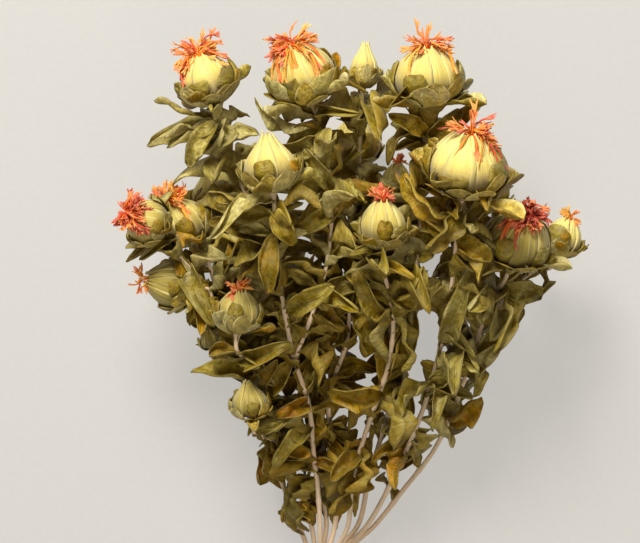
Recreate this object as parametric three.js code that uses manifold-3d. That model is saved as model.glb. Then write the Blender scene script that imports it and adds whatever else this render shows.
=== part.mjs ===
// A bunch of dried safflower, lying on its back on a table.
// Nine leafy stems are gathered by a twine tie. They fork towards the top, and each fork ends in a
// thistle-like flower head: a globe of tight pale bracts in a cup of leafy green bracts, with a ragged
// tuft of thin orange florets on its tip.
// Sizes are in millimetres. +Y runs from the cut ends to the flower heads and +Z is up from the table.
// The finished bunch stands on the plane z = 0, with the origin under the middle of its box.

import * as THREE from "three";
import { mergeVertices } from "three/addons/utils/BufferGeometryUtils.js";
import Module from "manifold-3d";

const wasm = await Module();
wasm.setup();

// Stems, from the cut end to the flower heads
const STEM_RADIUS_LOW = 1.8;
const STEM_RADIUS_HIGH = 1.15;
const BRANCH_RADIUS_LOW = 1.1;
const BRANCH_RADIUS_HIGH = 0.9;
const STEM_SIDES = 5;
const RING_TURN = 0.4;
const RING_BEND = 2.2;
const RING_SPACING = 60;
const TAIL_LENGTH = 150;
const TAIL_MIDDLE = 60;
const TAIL_SPREAD = 1.35;
const REST_SINK = 0.3;

// The tie round the waist of the bunch, at y = 0
const TIE_HALF_WIDTH = 5;
const TWINE_RADIUS = 1;
const TWINE_TURNS = 4;
const TIE_SIDES = 14;
const SLOT_PITCH = 4;
const SLOT_ROW_HEIGHT = 3.5;
const SEAT_GAP = 0.3;
const SEAT_DEPTH = 0.86;

// Leaves and bracts
const BLADE_THICKNESS = 0.7;
const LEAF_SPACING = 21;
const BRANCH_LEAF_SPACING = 16;
const LEAVES_START_Y = 38;
const GOLDEN_ANGLE = 2.39996;
const TRIES = 16;
const LEAF_REACH = 1.4;
const KIN_SHARE = 0.8;

// Flower heads: the globe's profile as shares of its radius, from the seat to the mouth
const GLOBE_PROFILE = [[0.34, -0.86], [0.84, -0.54], [1, -0.08], [0.89, 0.34], [0.58, 0.74], [0.27, 1]];
const BUD_PROFILE = [[0.34, -0.86], [0.84, -0.54], [1, -0.12], [0.84, 0.34], [0.46, 0.8], [0.12, 1.25]];
const GLOBE_SIDES = 10;
const SMALL_GLOBE_SIDES = 8;
const SMALL_GLOBE = 9;
const GLOBE_RELIEF = 0.05;
const BRACT_RINGS = [
  { height: -0.58, depth: 0.5, leans: [0.5, 0.75], lengths: [0.85, 1.1], width: 0.48 },
  { height: -0.8, depth: 0.2, leans: [1.05, 1.7], lengths: [1.4, 1.9], width: 0.66 },
];
const HEAD_CLEARANCE = 1.6;

// Every flower head: the centre of its globe, the way it points, its radius, how tall it is for its
// radius, how many florets its tuft has here, and how many bracts stand round it.
const HEADS = {
  head_01: { centre: [-53, 232, 85], axis: [-0.3, 0.93, 0.15], radius: 11.7, tall: 1, florets: 9, bracts: 8 },
  head_02: { centre: [-10, 234, 100], axis: [-0.28, 0.85, 0.42], radius: 14.2, tall: 1, florets: 10, bracts: 9 },
  head_03: { centre: [18, 238, 70], axis: [0.05, 1, 0], radius: 6, tall: 1.5, florets: 0, bracts: 5 },
  head_04: { centre: [46, 233, 95], axis: [0, 0.95, 0.25], radius: 14.4, tall: 0.95, florets: 8, bracts: 9 },
  head_05: { centre: [-24, 192, 118], axis: [-0.1, 0.97, 0.15], radius: 11.5, tall: 1, florets: 0, bracts: 8 },
  head_06: { centre: [63, 193, 112], axis: [0.12, 0.9, 0.35], radius: 16.5, tall: 0.92, florets: 9, bracts: 9 },
  head_07: { centre: [-80, 168, 88], axis: [-0.75, 0.35, 0.5], radius: 9.5, tall: 1, florets: 11, bracts: 6 },
  head_08: { centre: [-64, 168, 62], axis: [-0.5, 0.8, 0.25], radius: 10.5, tall: 1, florets: 11, bracts: 6 },
  head_09: { centre: [-70, 140, 68], axis: [-0.95, 0.15, 0.2], radius: 10, tall: 1.1, florets: 6, bracts: 7 },
  head_10: { centre: [-39, 127, 88], axis: [0.05, 1, 0.1], radius: 9.5, tall: 1, florets: 8, bracts: 7 },
  head_11: { centre: [-34, 86, 74], axis: [-0.1, 0.9, 0.3], radius: 7.6, tall: 1, florets: 0, bracts: 6 },
  head_12: { centre: [-53, 114, 60], axis: [-0.2, 0.9, 0.1], radius: 3.6, tall: 1.2, florets: 0, bracts: 3 },
  head_13: { centre: [26, 166, 100], axis: [0, 0.98, 0.15], radius: 10, tall: 1.1, florets: 8, bracts: 7 },
  head_14: { centre: [33, 188, 58], axis: [0.1, 1, 0], radius: 6, tall: 1.1, florets: 6, bracts: 4 },
  head_15: { centre: [88, 160, 85], axis: [0.25, 0.8, 0.5], radius: 13.6, tall: 0.95, florets: 12, bracts: 8 },
  head_16: { centre: [110, 161, 52], axis: [0.35, 0.93, 0.05], radius: 8.2, tall: 1.1, florets: 7, bracts: 6 },
  head_17: { centre: [-46, 188, 9.3], axis: [-0.15, 1, 0.06], radius: 10, tall: 1, florets: 7, bracts: 5 },
  head_18: { centre: [-54, 181, 38], axis: [-0.1, 1, 0.15], radius: 7.6, tall: 1.1, florets: 0, bracts: 5 },
  head_19: { centre: [14, 206, 10.2], axis: [0.05, 1, 0.06], radius: 11, tall: 1, florets: 7, bracts: 5 },
  head_20: { centre: [74, 184, 10.2], axis: [0.2, 0.97, 0.06], radius: 11, tall: 1, florets: 7, bracts: 5 },
};

// How far the florets of a tuft rise over the globe, as shares of its radius, and the heads whose tufts
// lie lower.
const TUFT_RISE = [0.1, 0.9];
const LOW_TUFTS = {
  head_02: [0.05, 0.65],
  head_04: [0.05, 0.5],
  head_06: [0, 0.3],
  head_07: [0.05, 0.6],
  head_08: [0.1, 0.6],
  head_10: [0.05, 0.45],
  head_13: [0.1, 0.5],
  head_15: [0, 0.35],
};

// Every stem: its place in the tie as steps of the pitch across and rows up, the points it passes above
// the tie, the head it ends in, and its branches. A branch leaves the stem where the stem passes y = from.
const STEMS = [
  {
    slot: [-1.5, 0],
    route: [[-12, 25, 8], [-19, 43, 14], [-27, 65, 24], [-35.5, 88, 36], [-43.6, 112, 46], [-49.5, 136, 52]],
    head: "head_08",
    branches: [
      { from: 112, route: [[-51, 125, 58]], head: "head_09" },
      { from: 130, route: [[-57, 143, 66], [-66, 153, 76]], head: "head_07" },
      { from: 95, route: [[-47, 103, 48]], head: "head_12" },
    ],
  },
  {
    slot: [-1, 1],
    route: [[-6, 25, 14], [-10, 38, 20], [-18, 61, 33], [-26, 83, 47], [-32, 102, 63]],
    head: "head_10",
    branches: [{ from: 62, route: [[-28, 70, 52]], head: "head_11" }],
  },
  {
    slot: [-0.5, 2],
    route: [[-2, 25, 20], [-3, 43, 28], [-5, 61, 38], [-7, 83, 52], [-11, 97, 63], [-14, 106, 70],
      [-18, 128, 84], [-22, 155, 99]],
    head: "head_05",
    branches: [{ from: 104, route: [[-7, 122, 78], [0, 144, 85], [3, 166, 88], [2, 190, 89]], head: "head_02" }],
  },
  {
    slot: [-0.5, 0],
    route: [[1, 25, 7], [-2, 47, 13], [-4, 70, 20], [-7.6, 97, 29], [-13.5, 124, 39], [-22.5, 148, 49],
      [-33, 173, 58], [-42, 196, 68]],
    head: "head_01",
    branches: [
      { from: 140, route: [[-30, 155, 40], [-44, 166, 37]], head: "head_18" },
      { from: 108, route: [[-18, 130, 25], [-33, 154, 14]], head: "head_17" },
    ],
  },
  {
    slot: [0, 1],
    route: [[5, 25, 13], [6, 52, 22], [2, 81, 37], [5, 97, 45], [10, 112, 53], [12, 133, 59], [12, 155, 62],
      [14, 178, 63], [16, 200, 65]],
    head: "head_03",
    branches: [{ from: 108, route: [[13, 135, 37], [15, 165, 20]], head: "head_19" }],
  },
  {
    slot: [0.5, 2],
    route: [[11, 25, 20], [13, 47, 30], [19, 70, 42], [25, 88, 53], [30, 106, 65], [31, 128, 79]],
    head: "head_13",
    branches: [{ from: 112, route: [[34, 135, 66], [36, 160, 60]], head: "head_14" }],
  },
  {
    slot: [0.5, 0],
    route: [[16, 25, 8], [21, 47, 14], [27.5, 70, 22], [34, 94.5, 32], [39, 124, 45], [43, 155, 58],
      [45, 187, 71]],
    head: "head_04",
    branches: [{ from: 110, route: [[46, 133, 32], [60, 156, 17]], head: "head_20" }],
  },
  {
    slot: [1, 1],
    route: [[20, 25, 14], [30, 43, 22], [37, 58.5, 31], [47, 85.5, 47], [54, 115, 65], [58, 142, 82]],
    head: "head_06",
    branches: [],
  },
  {
    slot: [1.5, 0],
    route: [[24, 25, 9], [38, 43, 15], [52, 62, 22], [62, 85.5, 32], [70, 110, 44], [75, 130, 56]],
    head: "head_15",
    branches: [{ from: 118, route: [[86, 136, 48], [99, 147, 49]], head: "head_16" }],
  },
];

// The leaves that show best: the stem they grow from, counted from 1, which of its limbs (0 is the stem
// and 1 its first branch), the y at which they leave it, their tip, how wide they are and how far they bow.
const LARGE_LEAVES = [
  // Under the heads along the top, from left to right
  { on: [4, 0], from: 213, tip: [-76, 226, 82], width: 7, bow: -0.1 },
  { on: [4, 0], from: 214, tip: [-62, 193, 84], width: 11, bow: 0.2 },
  { on: [4, 0], from: 212, tip: [-46, 202, 94], width: 10, bow: 0.15 },
  { on: [4, 0], from: 205, tip: [-30, 208, 82], width: 9, bow: 0.2 },
  { on: [3, 1], from: 210, tip: [-32, 221, 96], width: 9, bow: 0.12 },
  { on: [3, 1], from: 205, tip: [-24, 200, 105], width: 11, bow: 0.15 },
  { on: [5, 0], from: 212, tip: [2, 232, 66], width: 7, bow: -0.1 },
  { on: [5, 0], from: 212, tip: [33, 228, 68], width: 9, bow: 0.12 },
  { on: [7, 0], from: 206, tip: [30, 216, 100], width: 10, bow: 0.18 },
  { on: [7, 0], from: 203, tip: [62, 218, 90], width: 10, bow: 0.15 },
  { on: [7, 0], from: 200, tip: [72, 222, 72], width: 9, bow: -0.12 },
  { on: [7, 0], from: 211, tip: [27, 195, 86], width: 7, bow: 0.15 },
  { on: [7, 0], from: 190, tip: [60, 203, 82], width: 10, bow: 0.15 },
  { on: [5, 0], from: 187, tip: [-9, 196, 72], width: 9, bow: 0.12 },
  // Round the two big middle heads
  { on: [3, 0], from: 170, tip: [-53, 180, 104], width: 13, bow: 0.12 },
  { on: [3, 0], from: 172, tip: [-14, 157, 116], width: 11, bow: 0.2 },
  { on: [3, 0], from: 162, tip: [-26, 136, 112], width: 11, bow: 0.15 },
  { on: [3, 0], from: 128, tip: [4, 138, 96], width: 12, bow: 0.15 },
  { on: [3, 1], from: 180, tip: [-8, 200, 104], width: 9, bow: 0.1 },
  { on: [3, 1], from: 170, tip: [-16, 162, 98], width: 10, bow: 0.15 },
  { on: [8, 0], from: 166, tip: [34, 188, 106], width: 12, bow: 0.12 },
  { on: [8, 0], from: 173, tip: [46, 155, 116], width: 12, bow: 0.15 },
  { on: [8, 0], from: 160, tip: [74, 150, 104], width: 11, bow: 0.2 },
  { on: [8, 0], from: 160, tip: [86, 186, 84], width: 9, bow: 0.12 },
  // Down the right side
  { on: [9, 0], from: 120, tip: [60, 146, 76], width: 14, bow: 0.15 },
  { on: [8, 0], from: 112, tip: [66, 144, 86], width: 12, bow: 0.15 },
  { on: [9, 0], from: 138, tip: [100, 134, 68], width: 13, bow: 0.15 },
  { on: [9, 0], from: 106, tip: [92, 127, 56], width: 10, bow: 0.1 },
  { on: [9, 0], from: 98, tip: [50, 137, 72], width: 8, bow: 0.1 },
  { on: [8, 0], from: 92, tip: [64, 104, 68], width: 10, bow: 0.15 },
  { on: [9, 0], from: 86, tip: [46, 103, 50], width: 9, bow: 0.15 },
  { on: [9, 0], from: 74, tip: [72, 86, 46], width: 11, bow: 0.15 },
  // Down the left side and the middle
  { on: [1, 0], from: 128, tip: [-26, 148, 66], width: 12, bow: 0.15 },
  { on: [2, 0], from: 96, tip: [-60, 100, 70], width: 10, bow: 0.15 },
  { on: [2, 0], from: 88, tip: [-24, 104, 80], width: 11, bow: 0.15 },
  { on: [6, 0], from: 122, tip: [12, 148, 92], width: 10, bow: 0.12 },
  { on: [6, 0], from: 124, tip: [44, 146, 98], width: 10, bow: 0.15 },
];

// The sides of the bunch, seen from above, that no leaf reaches past: [y, lowest x, highest x]
const OUTLINE = [
  [20, -22, 34], [45, -24, 48], [65, -30, 66], [90, -42, 76], [118, -62, 92], [150, -92, 112],
  [190, -95, 116], [215, -80, 98], [262, -76, 76],
];
const FRONT_AT_TIE = 26;
const FRONT_RISE = 0.62;
const FRONT_MOST = 138;
// Where the background shows between the leaves: x, y and the half sizes across and along the bunch
const WINDOWS = [
  [46, 117, 6, 11], [42.5, 101, 3, 7], [51, 149, 4.5, 9], [57, 159, 3, 5], [40, 79, 3.5, 6],
  [20, 113, 4, 9], [23, 92, 2, 5], [28, 62, 4.5, 3], [16.5, 71.5, 2, 6], [24, 36, 8, 9],
  [37, 197, 3.5, 5], [22, 202, 4, 7], [10, 191, 2, 5], [-40, 208, 2.5, 6], [-51.5, 144, 4, 3.5],
];
const TABLE_CLEARANCE = 1.2;

const V = (x, y, z) => new THREE.Vector3(x, y, z);
const at = (list) => V(...list);

// Repeatable random numbers from 0 to 1.
function dice(seed) {
  const most = 4294967296;
  let state = (seed * 7919 + 104729) % most;
  const roll = () => {
    state = (state * 1664525 + 1013904223) % most;
    return state / most;
  };
  roll();
  roll();
  return roll;
}

const between = (roll, low, high) => low + (high - low) * roll();

// A stem or branch: a smooth line through its points, with a frame that doesn't spin along it.
class Limb {
  constructor(points) {
    const curve = new THREE.CatmullRomCurve3(points, false, "centripetal");
    const steps = (points.length - 1) * 10;
    this.spots = [];
    let side = V(1, 0, 0);
    for (let i = 0; i <= steps; i++) {
      const point = curve.getPoint(i / steps);
      const before = this.spots[i - 1];
      const distance = before ? before.distance + point.distanceTo(before.point) : 0;
      this.spots.push({ point, distance });
    }
    this.spots.forEach((spot, i) => {
      const from = this.spots[Math.max(i - 1, 0)].point;
      const to = this.spots[Math.min(i + 1, steps)].point;
      spot.along = to.clone().sub(from).normalize();
      side = side.clone().addScaledVector(spot.along, -side.dot(spot.along)).normalize();
      spot.side = side;
      spot.up = side.clone().cross(spot.along);
    });
    this.length = this.spots[steps].distance;
  }

  at(distance) {
    const last = this.spots.length - 1;
    let i = 0;
    while (i < last - 1 && this.spots[i + 1].distance < distance) i++;
    const [a, b] = [this.spots[i], this.spots[i + 1]];
    const share = (distance - a.distance) / (b.distance - a.distance);
    const mix = (key) => a[key].clone().lerp(b[key], share);
    return { point: mix("point"), along: mix("along"), side: mix("side"), up: mix("up") };
  }

  // Where the limb needs a ring of its tube: where it has turned enough, or run straight long enough.
  ringPlaces() {
    const places = [this.spots[0]];
    for (const spot of this.spots) {
      const last = places[places.length - 1];
      const turned = spot.along.angleTo(last.along);
      const run = spot.distance - last.distance;
      if (turned > RING_TURN || turned * run > RING_BEND || run > RING_SPACING) places.push(spot);
    }
    const end = this.spots[this.spots.length - 1];
    if (end.distance - places[places.length - 1].distance < 3) places.pop();
    return [...places, end];
  }

  // How far along the limb it first passes the height y.
  reaching(y) {
    return this.spots.find((spot) => spot.point.y >= y).distance;
  }
}

// Geometry into a solid and back

function solidOf(geometry) {
  geometry.deleteAttribute("uv");
  geometry.deleteAttribute("normal");
  const merged = mergeVertices(geometry);
  return new wasm.Manifold(new wasm.Mesh({
    numProp: 3,
    vertProperties: merged.attributes.position.array,
    triVerts: new Uint32Array(merged.index.array),
  }));
}

function geometryOf(solid) {
  const mesh = solid.getMesh();
  const geometry = new THREE.BufferGeometry();
  geometry.setAttribute("position", new THREE.BufferAttribute(new Float32Array(mesh.vertProperties), 3));
  geometry.setIndex(new THREE.BufferAttribute(new Uint32Array(mesh.triVerts), 1));
  geometry.computeVertexNormals();
  return geometry;
}

function reshape(geometry, move) {
  const place = geometry.attributes.position;
  for (let i = 0; i < place.count; i++) {
    const moved = move(V(place.getX(i), place.getY(i), place.getZ(i)));
    place.setXYZ(i, moved.x, moved.y, moved.z);
  }
  return geometry;
}

// A tapering tube along a limb.
function tube(limb, radiusLow, radiusHigh, sides) {
  const places = limb.ringPlaces();
  const last = places.length - 1;
  const straight = new THREE.CylinderGeometry(1, 1, 1, sides, last);
  return reshape(straight, (p) => {
    const spot = places[Math.round((p.y + 0.5) * last)];
    const radius = radiusLow + ((radiusHigh - radiusLow) * spot.distance) / limb.length;
    const place = spot.point.clone().addScaledVector(spot.side, p.x * radius);
    return place.addScaledVector(spot.up, p.z * radius);
  });
}

// Half the width of a blade, as a share of its widest, from its base at 0 to its tip at 1.
function bladeOutline(along, belly) {
  return 0.22 * (1 - along) ** 3 + Math.sin(Math.PI * along ** belly);
}

// A point of a blade's middle surface and the way that surface faces there.
// along runs from 0 at the base to 1 at the tip, and across from -1 at one edge to 1 at the other.
function bladePoint(blade, along, across) {
  const { base, way, face, length, width } = blade;
  const side = way.clone().cross(face);
  const turn = blade.twist * along;
  const sideHere = side.clone().multiplyScalar(Math.cos(turn)).addScaledVector(face, Math.sin(turn));
  const faceHere = face.clone().multiplyScalar(Math.cos(turn)).addScaledVector(side, -Math.sin(turn));
  const half = (width / 2) * bladeOutline(along, blade.belly);
  const ripple = Math.sin(blade.phase + 2 * Math.PI * blade.waves * along + (across > 0 ? 0 : 2));
  const lift = half * across * across * (blade.fold + blade.ripple * ripple);
  const point = base.clone()
    .addScaledVector(way, length * along)
    .addScaledVector(face, length * (4 * blade.arch * along * (1 - along) - blade.droop * along * along))
    .addScaledVector(sideHere, half * across)
    .addScaledVector(faceHere, lift);
  return { point, face: faceHere };
}

// The triangles between two rows of corners, taken by turns from one row and the other.
function strip(low, high) {
  const triangles = [];
  let [i, j] = [0, 0];
  while (i < low.length - 1 || j < high.length - 1) {
    const lowIsBehind = (i + 0.5) / (low.length - 1) <= (j + 0.5) / (high.length - 1);
    if (j === high.length - 1 || (i < low.length - 1 && lowIsBehind)) {
      triangles.push([low[i], low[i + 1], high[j]]);
      i++;
    } else {
      triangles.push([low[i], high[j + 1], high[j]]);
      j++;
    }
  }
  return triangles;
}

// A thin closed blade: two alike sheets joined round their rim. It comes to a point at its base and its
// tip. Each row between is a share along it, with the places across it that have a corner.
function bladeSolid(blade, rows) {
  const middle = [];
  const corners = [[0, [0]], ...rows, [1, [0]]].map(([along, places]) =>
    places.map((across) => middle.push(bladePoint(blade, along, across)) - 1));
  const triangles = [];
  const under = middle.length;
  corners.slice(1).forEach((high, i) => {
    for (const [a, b, c] of strip(corners[i], high)) triangles.push(a, b, c, under + a, under + c, under + b);
  });
  const left = corners.map((row) => row[0]);
  const right = corners.slice(1, -1).map((row) => row[row.length - 1]).reverse();
  const rim = [...left, ...right];
  rim.forEach((a, i) => {
    const b = rim[(i + 1) % rim.length];
    triangles.push(a, b, under + b, a, under + b, under + a);
  });
  const places = [0.5, -0.5].flatMap((share) =>
    middle.flatMap(({ point, face }) =>
      point.clone().addScaledVector(face, share * BLADE_THICKNESS).toArray()));
  const geometry = new THREE.BufferGeometry();
  geometry.setAttribute("position", new THREE.Float32BufferAttribute(places, 3));
  geometry.setIndex(triangles);
  return solidOf(geometry);
}

// Room in the bunch. Each spot is a point that some piece fills out to its reach.
const room = [];

function fill(owner, point, reach) {
  room.push({ owner, point, reach });
}

function bladeSpots(blade) {
  const spots = [bladePoint(blade, 1, 0).point];
  for (const along of [0.3, 0.45, 0.6, 0.75, 0.88])
    for (const across of [-1, -0.5, 0, 0.5, 1]) spots.push(bladePoint(blade, along, across).point);
  return spots;
}

// The part of a blade next to its own stem, which only has to clear the other stems.
function rootSpots(blade) {
  const spotsAt = (along) => [-1, 1].map((across) => bladePoint(blade, along, across).point);
  return [0, 0.08, 0.16, 0.23].flatMap(spotsAt);
}

function insideOutline({ x, y, z }) {
  if (z < TABLE_CLEARANCE || z > Math.min(FRONT_AT_TIE + FRONT_RISE * y, FRONT_MOST)) return false;
  const showsThrough = ([atX, atY, wide, high]) => ((x - atX) / wide) ** 2 + ((y - atY) / high) ** 2 < 1;
  if (WINDOWS.some(showsThrough)) return false;
  const above = OUTLINE.findIndex((row) => row[0] > y);
  if (above < 1) return false;
  const [[y0, low0, high0], [y1, low1, high1]] = [OUTLINE[above - 1], OUTLINE[above]];
  const share = (y - y0) / (y1 - y0);
  return x > low0 + (low1 - low0) * share && x < high0 + (high1 - high0) * share;
}

function isClear(owner, spots, kinShare) {
  const middle = spots[Math.floor(spots.length / 2)];
  const span = Math.max(...spots.map((spot) => spot.distanceTo(middle)));
  for (const other of room) {
    if (other.point.distanceTo(middle) > span + other.reach + LEAF_REACH) continue;
    const least = (other.reach + LEAF_REACH) * (other.owner === owner ? kinShare : 1);
    if (spots.some((spot) => spot.distanceTo(other.point) < least)) return false;
  }
  return true;
}

// Limbs

const tieRow = (row) => STEM_RADIUS_LOW + 2 * TWINE_RADIUS + row * SLOT_ROW_HEIGHT;

function headFrame(head) {
  const up = at(head.axis).normalize();
  const side = V(0, 0, 1).cross(up).normalize();
  return { up, side, out: side.clone().cross(up) };
}

function headSeat(head) {
  const drop = SEAT_DEPTH * head.radius * head.tall + SEAT_GAP;
  return at(head.centre).addScaledVector(headFrame(head).up, -drop);
}

function endInHead(points, name) {
  const head = HEADS[name];
  const seat = headSeat(head);
  const neck = seat.clone().addScaledVector(headFrame(head).up, -0.6 * head.radius - 2);
  return new Limb([...points, neck, seat]);
}

function mainLimb({ slot, route, head }) {
  const [x, z] = [slot[0] * SLOT_PITCH, tieRow(slot[1])];
  const low = STEM_RADIUS_LOW - REST_SINK + slot[1] * SLOT_ROW_HEIGHT;
  return endInHead([
    V(x * TAIL_SPREAD, -TAIL_LENGTH - 3 * Math.sin(slot[0] * 5 + slot[1]), low),
    V(x * TAIL_SPREAD, -TAIL_MIDDLE, low),
    V(x, -TIE_HALF_WIDTH - 2, z),
    V(x, TIE_HALF_WIDTH + 2, z),
    ...route.map(at),
  ], head);
}

function branchLimb(main, { from, route, head }) {
  const start = main.at(main.reaching(from)).point;
  return endInHead([start, ...route.map(at)], head);
}

const plants = STEMS.map((stem, i) => {
  const main = mainLimb(stem);
  const branches = stem.branches.map((branch) => branchLimb(main, branch));
  return { name: `leafy_stem_${i + 1}`, main, branches, blades: [] };
});

for (const { name, main, branches } of plants) {
  for (const limb of [main, ...branches])
    for (let d = 0; d < limb.length - 4; d += 3) fill(name, limb.at(d).point, limb === main ? 1.9 : 1.3);
}

// Flower heads

function profileAt(profile, share) {
  const step = share * (profile.length - 1);
  const i = Math.min(Math.floor(step), profile.length - 2);
  const [[r0, z0], [r1, z1]] = [profile[i], profile[i + 1]];
  return [r0 + (r1 - r0) * (step - i), z0 + (z1 - z0) * (step - i)];
}

function globe(head) {
  const profile = head.florets ? GLOBE_PROFILE : BUD_PROFILE;
  const [[, low], [, high]] = [profile[0], profile[profile.length - 1]];
  const outline = [[0, low], ...profile, [0, high]].map(([r, z]) => new THREE.Vector2(r, z));
  const frame = headFrame(head);
  const sides = head.radius < SMALL_GLOBE ? SMALL_GLOBE_SIDES : GLOBE_SIDES;
  return reshape(new THREE.LatheGeometry(outline, sides), (p) => {
    const angle = Math.atan2(p.x, p.z);
    const rib = 1 + GLOBE_RELIEF * Math.cos((sides / 2) * angle + 4 * p.y) * Math.hypot(p.x, p.z);
    const place = at(head.centre).addScaledVector(frame.up, p.y * head.radius * head.tall);
    place.addScaledVector(frame.side, p.x * rib * head.radius);
    return place.addScaledVector(frame.out, p.z * rib * head.radius);
  });
}

// A bract of a head, standing off the globe. Its root is sunk in the globe.
function bract(head, turn, ring, roll) {
  const frame = headFrame(head);
  const { radius, tall } = head;
  const around = frame.side.clone().multiplyScalar(Math.cos(turn)).addScaledVector(frame.out, Math.sin(turn));
  const base = at(head.centre).addScaledVector(frame.up, ring.height * radius * tall);
  base.addScaledVector(around, ring.depth * radius);
  const lean = between(roll, ...ring.leans);
  const way = around.clone().multiplyScalar(Math.sin(lean)).addScaledVector(frame.up, Math.cos(lean));
  const face = frame.up.clone().multiplyScalar(Math.sin(lean)).addScaledVector(around, -Math.cos(lean));
  return {
    base, way, face,
    length: radius * between(roll, ...ring.lengths) + 1.5,
    width: radius * ring.width + 1.2,
    belly: 1.5, fold: 0.3, ripple: 0, waves: 1, phase: 0,
    twist: between(roll, -0.4, 0.4),
    arch: -0.06,
    droop: between(roll, -0.25, 0),
  };
}

const headNames = Object.keys(HEADS);

for (const name of headNames) {
  const head = HEADS[name];
  const { up } = headFrame(head);
  fill(name, at(head.centre), head.radius + HEAD_CLEARANCE);
  const [rise, reach] = head.florets ? [1.35, 0.8] : [1, 0.5];
  fill(name, at(head.centre).addScaledVector(up, rise * head.radius * head.tall), head.radius * reach);
}

const bractsOf = {};
headNames.forEach((name, number) => {
  const head = HEADS[name];
  const roll = dice(500 + number);
  bractsOf[name] = [];
  const inner = Math.ceil(head.bracts * 0.55);
  for (let i = 0; i < head.bracts; i++) {
    const isInner = i < inner;
    const ring = BRACT_RINGS[isInner ? 0 : 1];
    const share = isInner ? i / inner : (i - inner + 0.5) / (head.bracts - inner);
    const start = 2 * Math.PI * share + between(roll, -0.15, 0.15);
    for (const nudge of [0, 0.3, -0.3, 0.6, -0.6]) {
      const made = bract(head, start + nudge, ring, dice(900 + number * 20 + i));
      const spots = bladeSpots(made);
      const high = spots.every((spot) => spot.z > TABLE_CLEARANCE);
      if (high && isClear(name, spots, 0)) {
        bractsOf[name].push(made);
        break;
      }
    }
  }
  for (const made of bractsOf[name]) for (const spot of bladeSpots(made)) fill(name, spot, LEAF_REACH);
});

// Leaves

function leafFrom(spot, turn, lean, roll, size) {
  const radial = spot.side.clone().multiplyScalar(Math.cos(turn)).addScaledVector(spot.up, Math.sin(turn));
  const way = spot.along.clone().multiplyScalar(Math.cos(lean));
  way.addScaledVector(radial, Math.sin(lean)).normalize();
  const level = spot.along.clone().addScaledVector(way, -spot.along.dot(way)).normalize();
  const side = way.clone().cross(level);
  const tilt = between(roll, -0.7, 0.7);
  const face = level.multiplyScalar(Math.cos(tilt)).addScaledVector(side, Math.sin(tilt));
  return {
    base: spot.point.clone(), way, face,
    length: size * between(roll, 0.85, 1.2),
    width: size * between(roll, 0.4, 0.56),
    belly: between(roll, 0.85, 1.2),
    fold: between(roll, 0.15, 0.55),
    ripple: between(roll, 0.1, 0.35),
    waves: between(roll, 0.8, 1.7),
    phase: between(roll, 0, 6),
    twist: between(roll, -0.9, 0.9),
    arch: between(roll, -0.05, 0.14),
    droop: between(roll, -0.1, 0.45),
  };
}

// A large leaf, turned about its own length until it has room.
function growLargeLeaf({ on, from, tip, width, bow }, number) {
  const plant = plants[on[0] - 1];
  const limb = [plant.main, ...plant.branches][on[1]];
  const base = limb.at(limb.reaching(from)).point;
  const way = at(tip).sub(base);
  const length = way.length();
  way.normalize();
  const level = V(0, 0, 1).addScaledVector(way, -way.z).normalize();
  const side = way.clone().cross(level);
  for (const tilt of [0.2, -0.3, 0.6, -0.7, 1, -1.1, 1.4]) {
    const roll = dice(7000 + number);
    const leaf = {
      base, way, length, width,
      face: level.clone().multiplyScalar(Math.cos(tilt)).addScaledVector(side, Math.sin(tilt)),
      belly: between(roll, 0.9, 1.25),
      fold: between(roll, 0.15, 0.5),
      ripple: between(roll, 0.15, 0.35),
      waves: between(roll, 0.8, 1.7),
      phase: between(roll, 0, 6),
      twist: between(roll, -0.7, 0.7),
      arch: bow,
      droop: 0,
    };
    const spots = bladeSpots(leaf);
    const fits = spots.every((spot) => spot.z > TABLE_CLEARANCE) && isClear(plant.name, rootSpots(leaf), 0);
    if (fits && isClear(plant.name, spots, KIN_SHARE)) {
      keepLeaf(plant, leaf, spots);
      return;
    }
  }
}

function keepLeaf(plant, leaf, spots) {
  plant.blades.push(leaf);
  for (const spot of spots) fill(plant.name, spot, LEAF_REACH);
}

function growLeaves(plant, number) {
  [plant.main, ...plant.branches].forEach((limb, limbNumber) => {
    const isMain = limbNumber === 0;
    const spacing = isMain ? LEAF_SPACING : BRANCH_LEAF_SPACING;
    const start = isMain ? limb.reaching(LEAVES_START_Y + 4 * Math.sin(number * 3)) : 5;
    let count = 0;
    for (let d = start; d < limb.length - 5; d += spacing) {
      const seed = number * 1000 + limbNumber * 100 + count;
      count++;
      const spot = limb.at(d);
      const low = Math.max(0, Math.min(1, (130 - spot.point.y) / 80));
      const roll = dice(seed);
      const lean = between(roll, 0.55, 1.2) + low * between(roll, 0.1, 1.1);
      const size = between(roll, 21, 31) - 8 * low;
      for (let attempt = 0; attempt < TRIES; attempt++) {
        const turn = (count + attempt) * GOLDEN_ANGLE + number;
        const scale = attempt < 6 ? 1 : 0.75;
        const leaf = leafFrom(spot, turn, lean + 0.12 * (attempt % 3), dice(seed + 7), size * scale);
        const spots = bladeSpots(leaf);
        const fits = spots.every(insideOutline) && isClear(plant.name, rootSpots(leaf), 0);
        if (fits && isClear(plant.name, spots, KIN_SHARE)) {
          keepLeaf(plant, leaf, spots);
          break;
        }
      }
    }
  });
}

LARGE_LEAVES.forEach(growLargeLeaf);
plants.forEach(growLeaves);

// Solids

function material(color, roughness) {
  return new THREE.MeshStandardMaterial({ color, roughness, metalness: 0 });
}

const LEAF_ROWS = [[0.3, [-1, 1]], [0.66, [-1, 0, 1]]];
const SMALL_LEAF_ROWS = [[0.44, [-1, 0, 1]]];
const SMALL_LEAF = 19;
const BRACT_ROWS = [[0.6, [-1, 0, 1]]];

function joined(solids) {
  return wasm.Manifold.union(solids).trimByPlane([0, 0, 1], 0).simplify(0.06);
}

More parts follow.
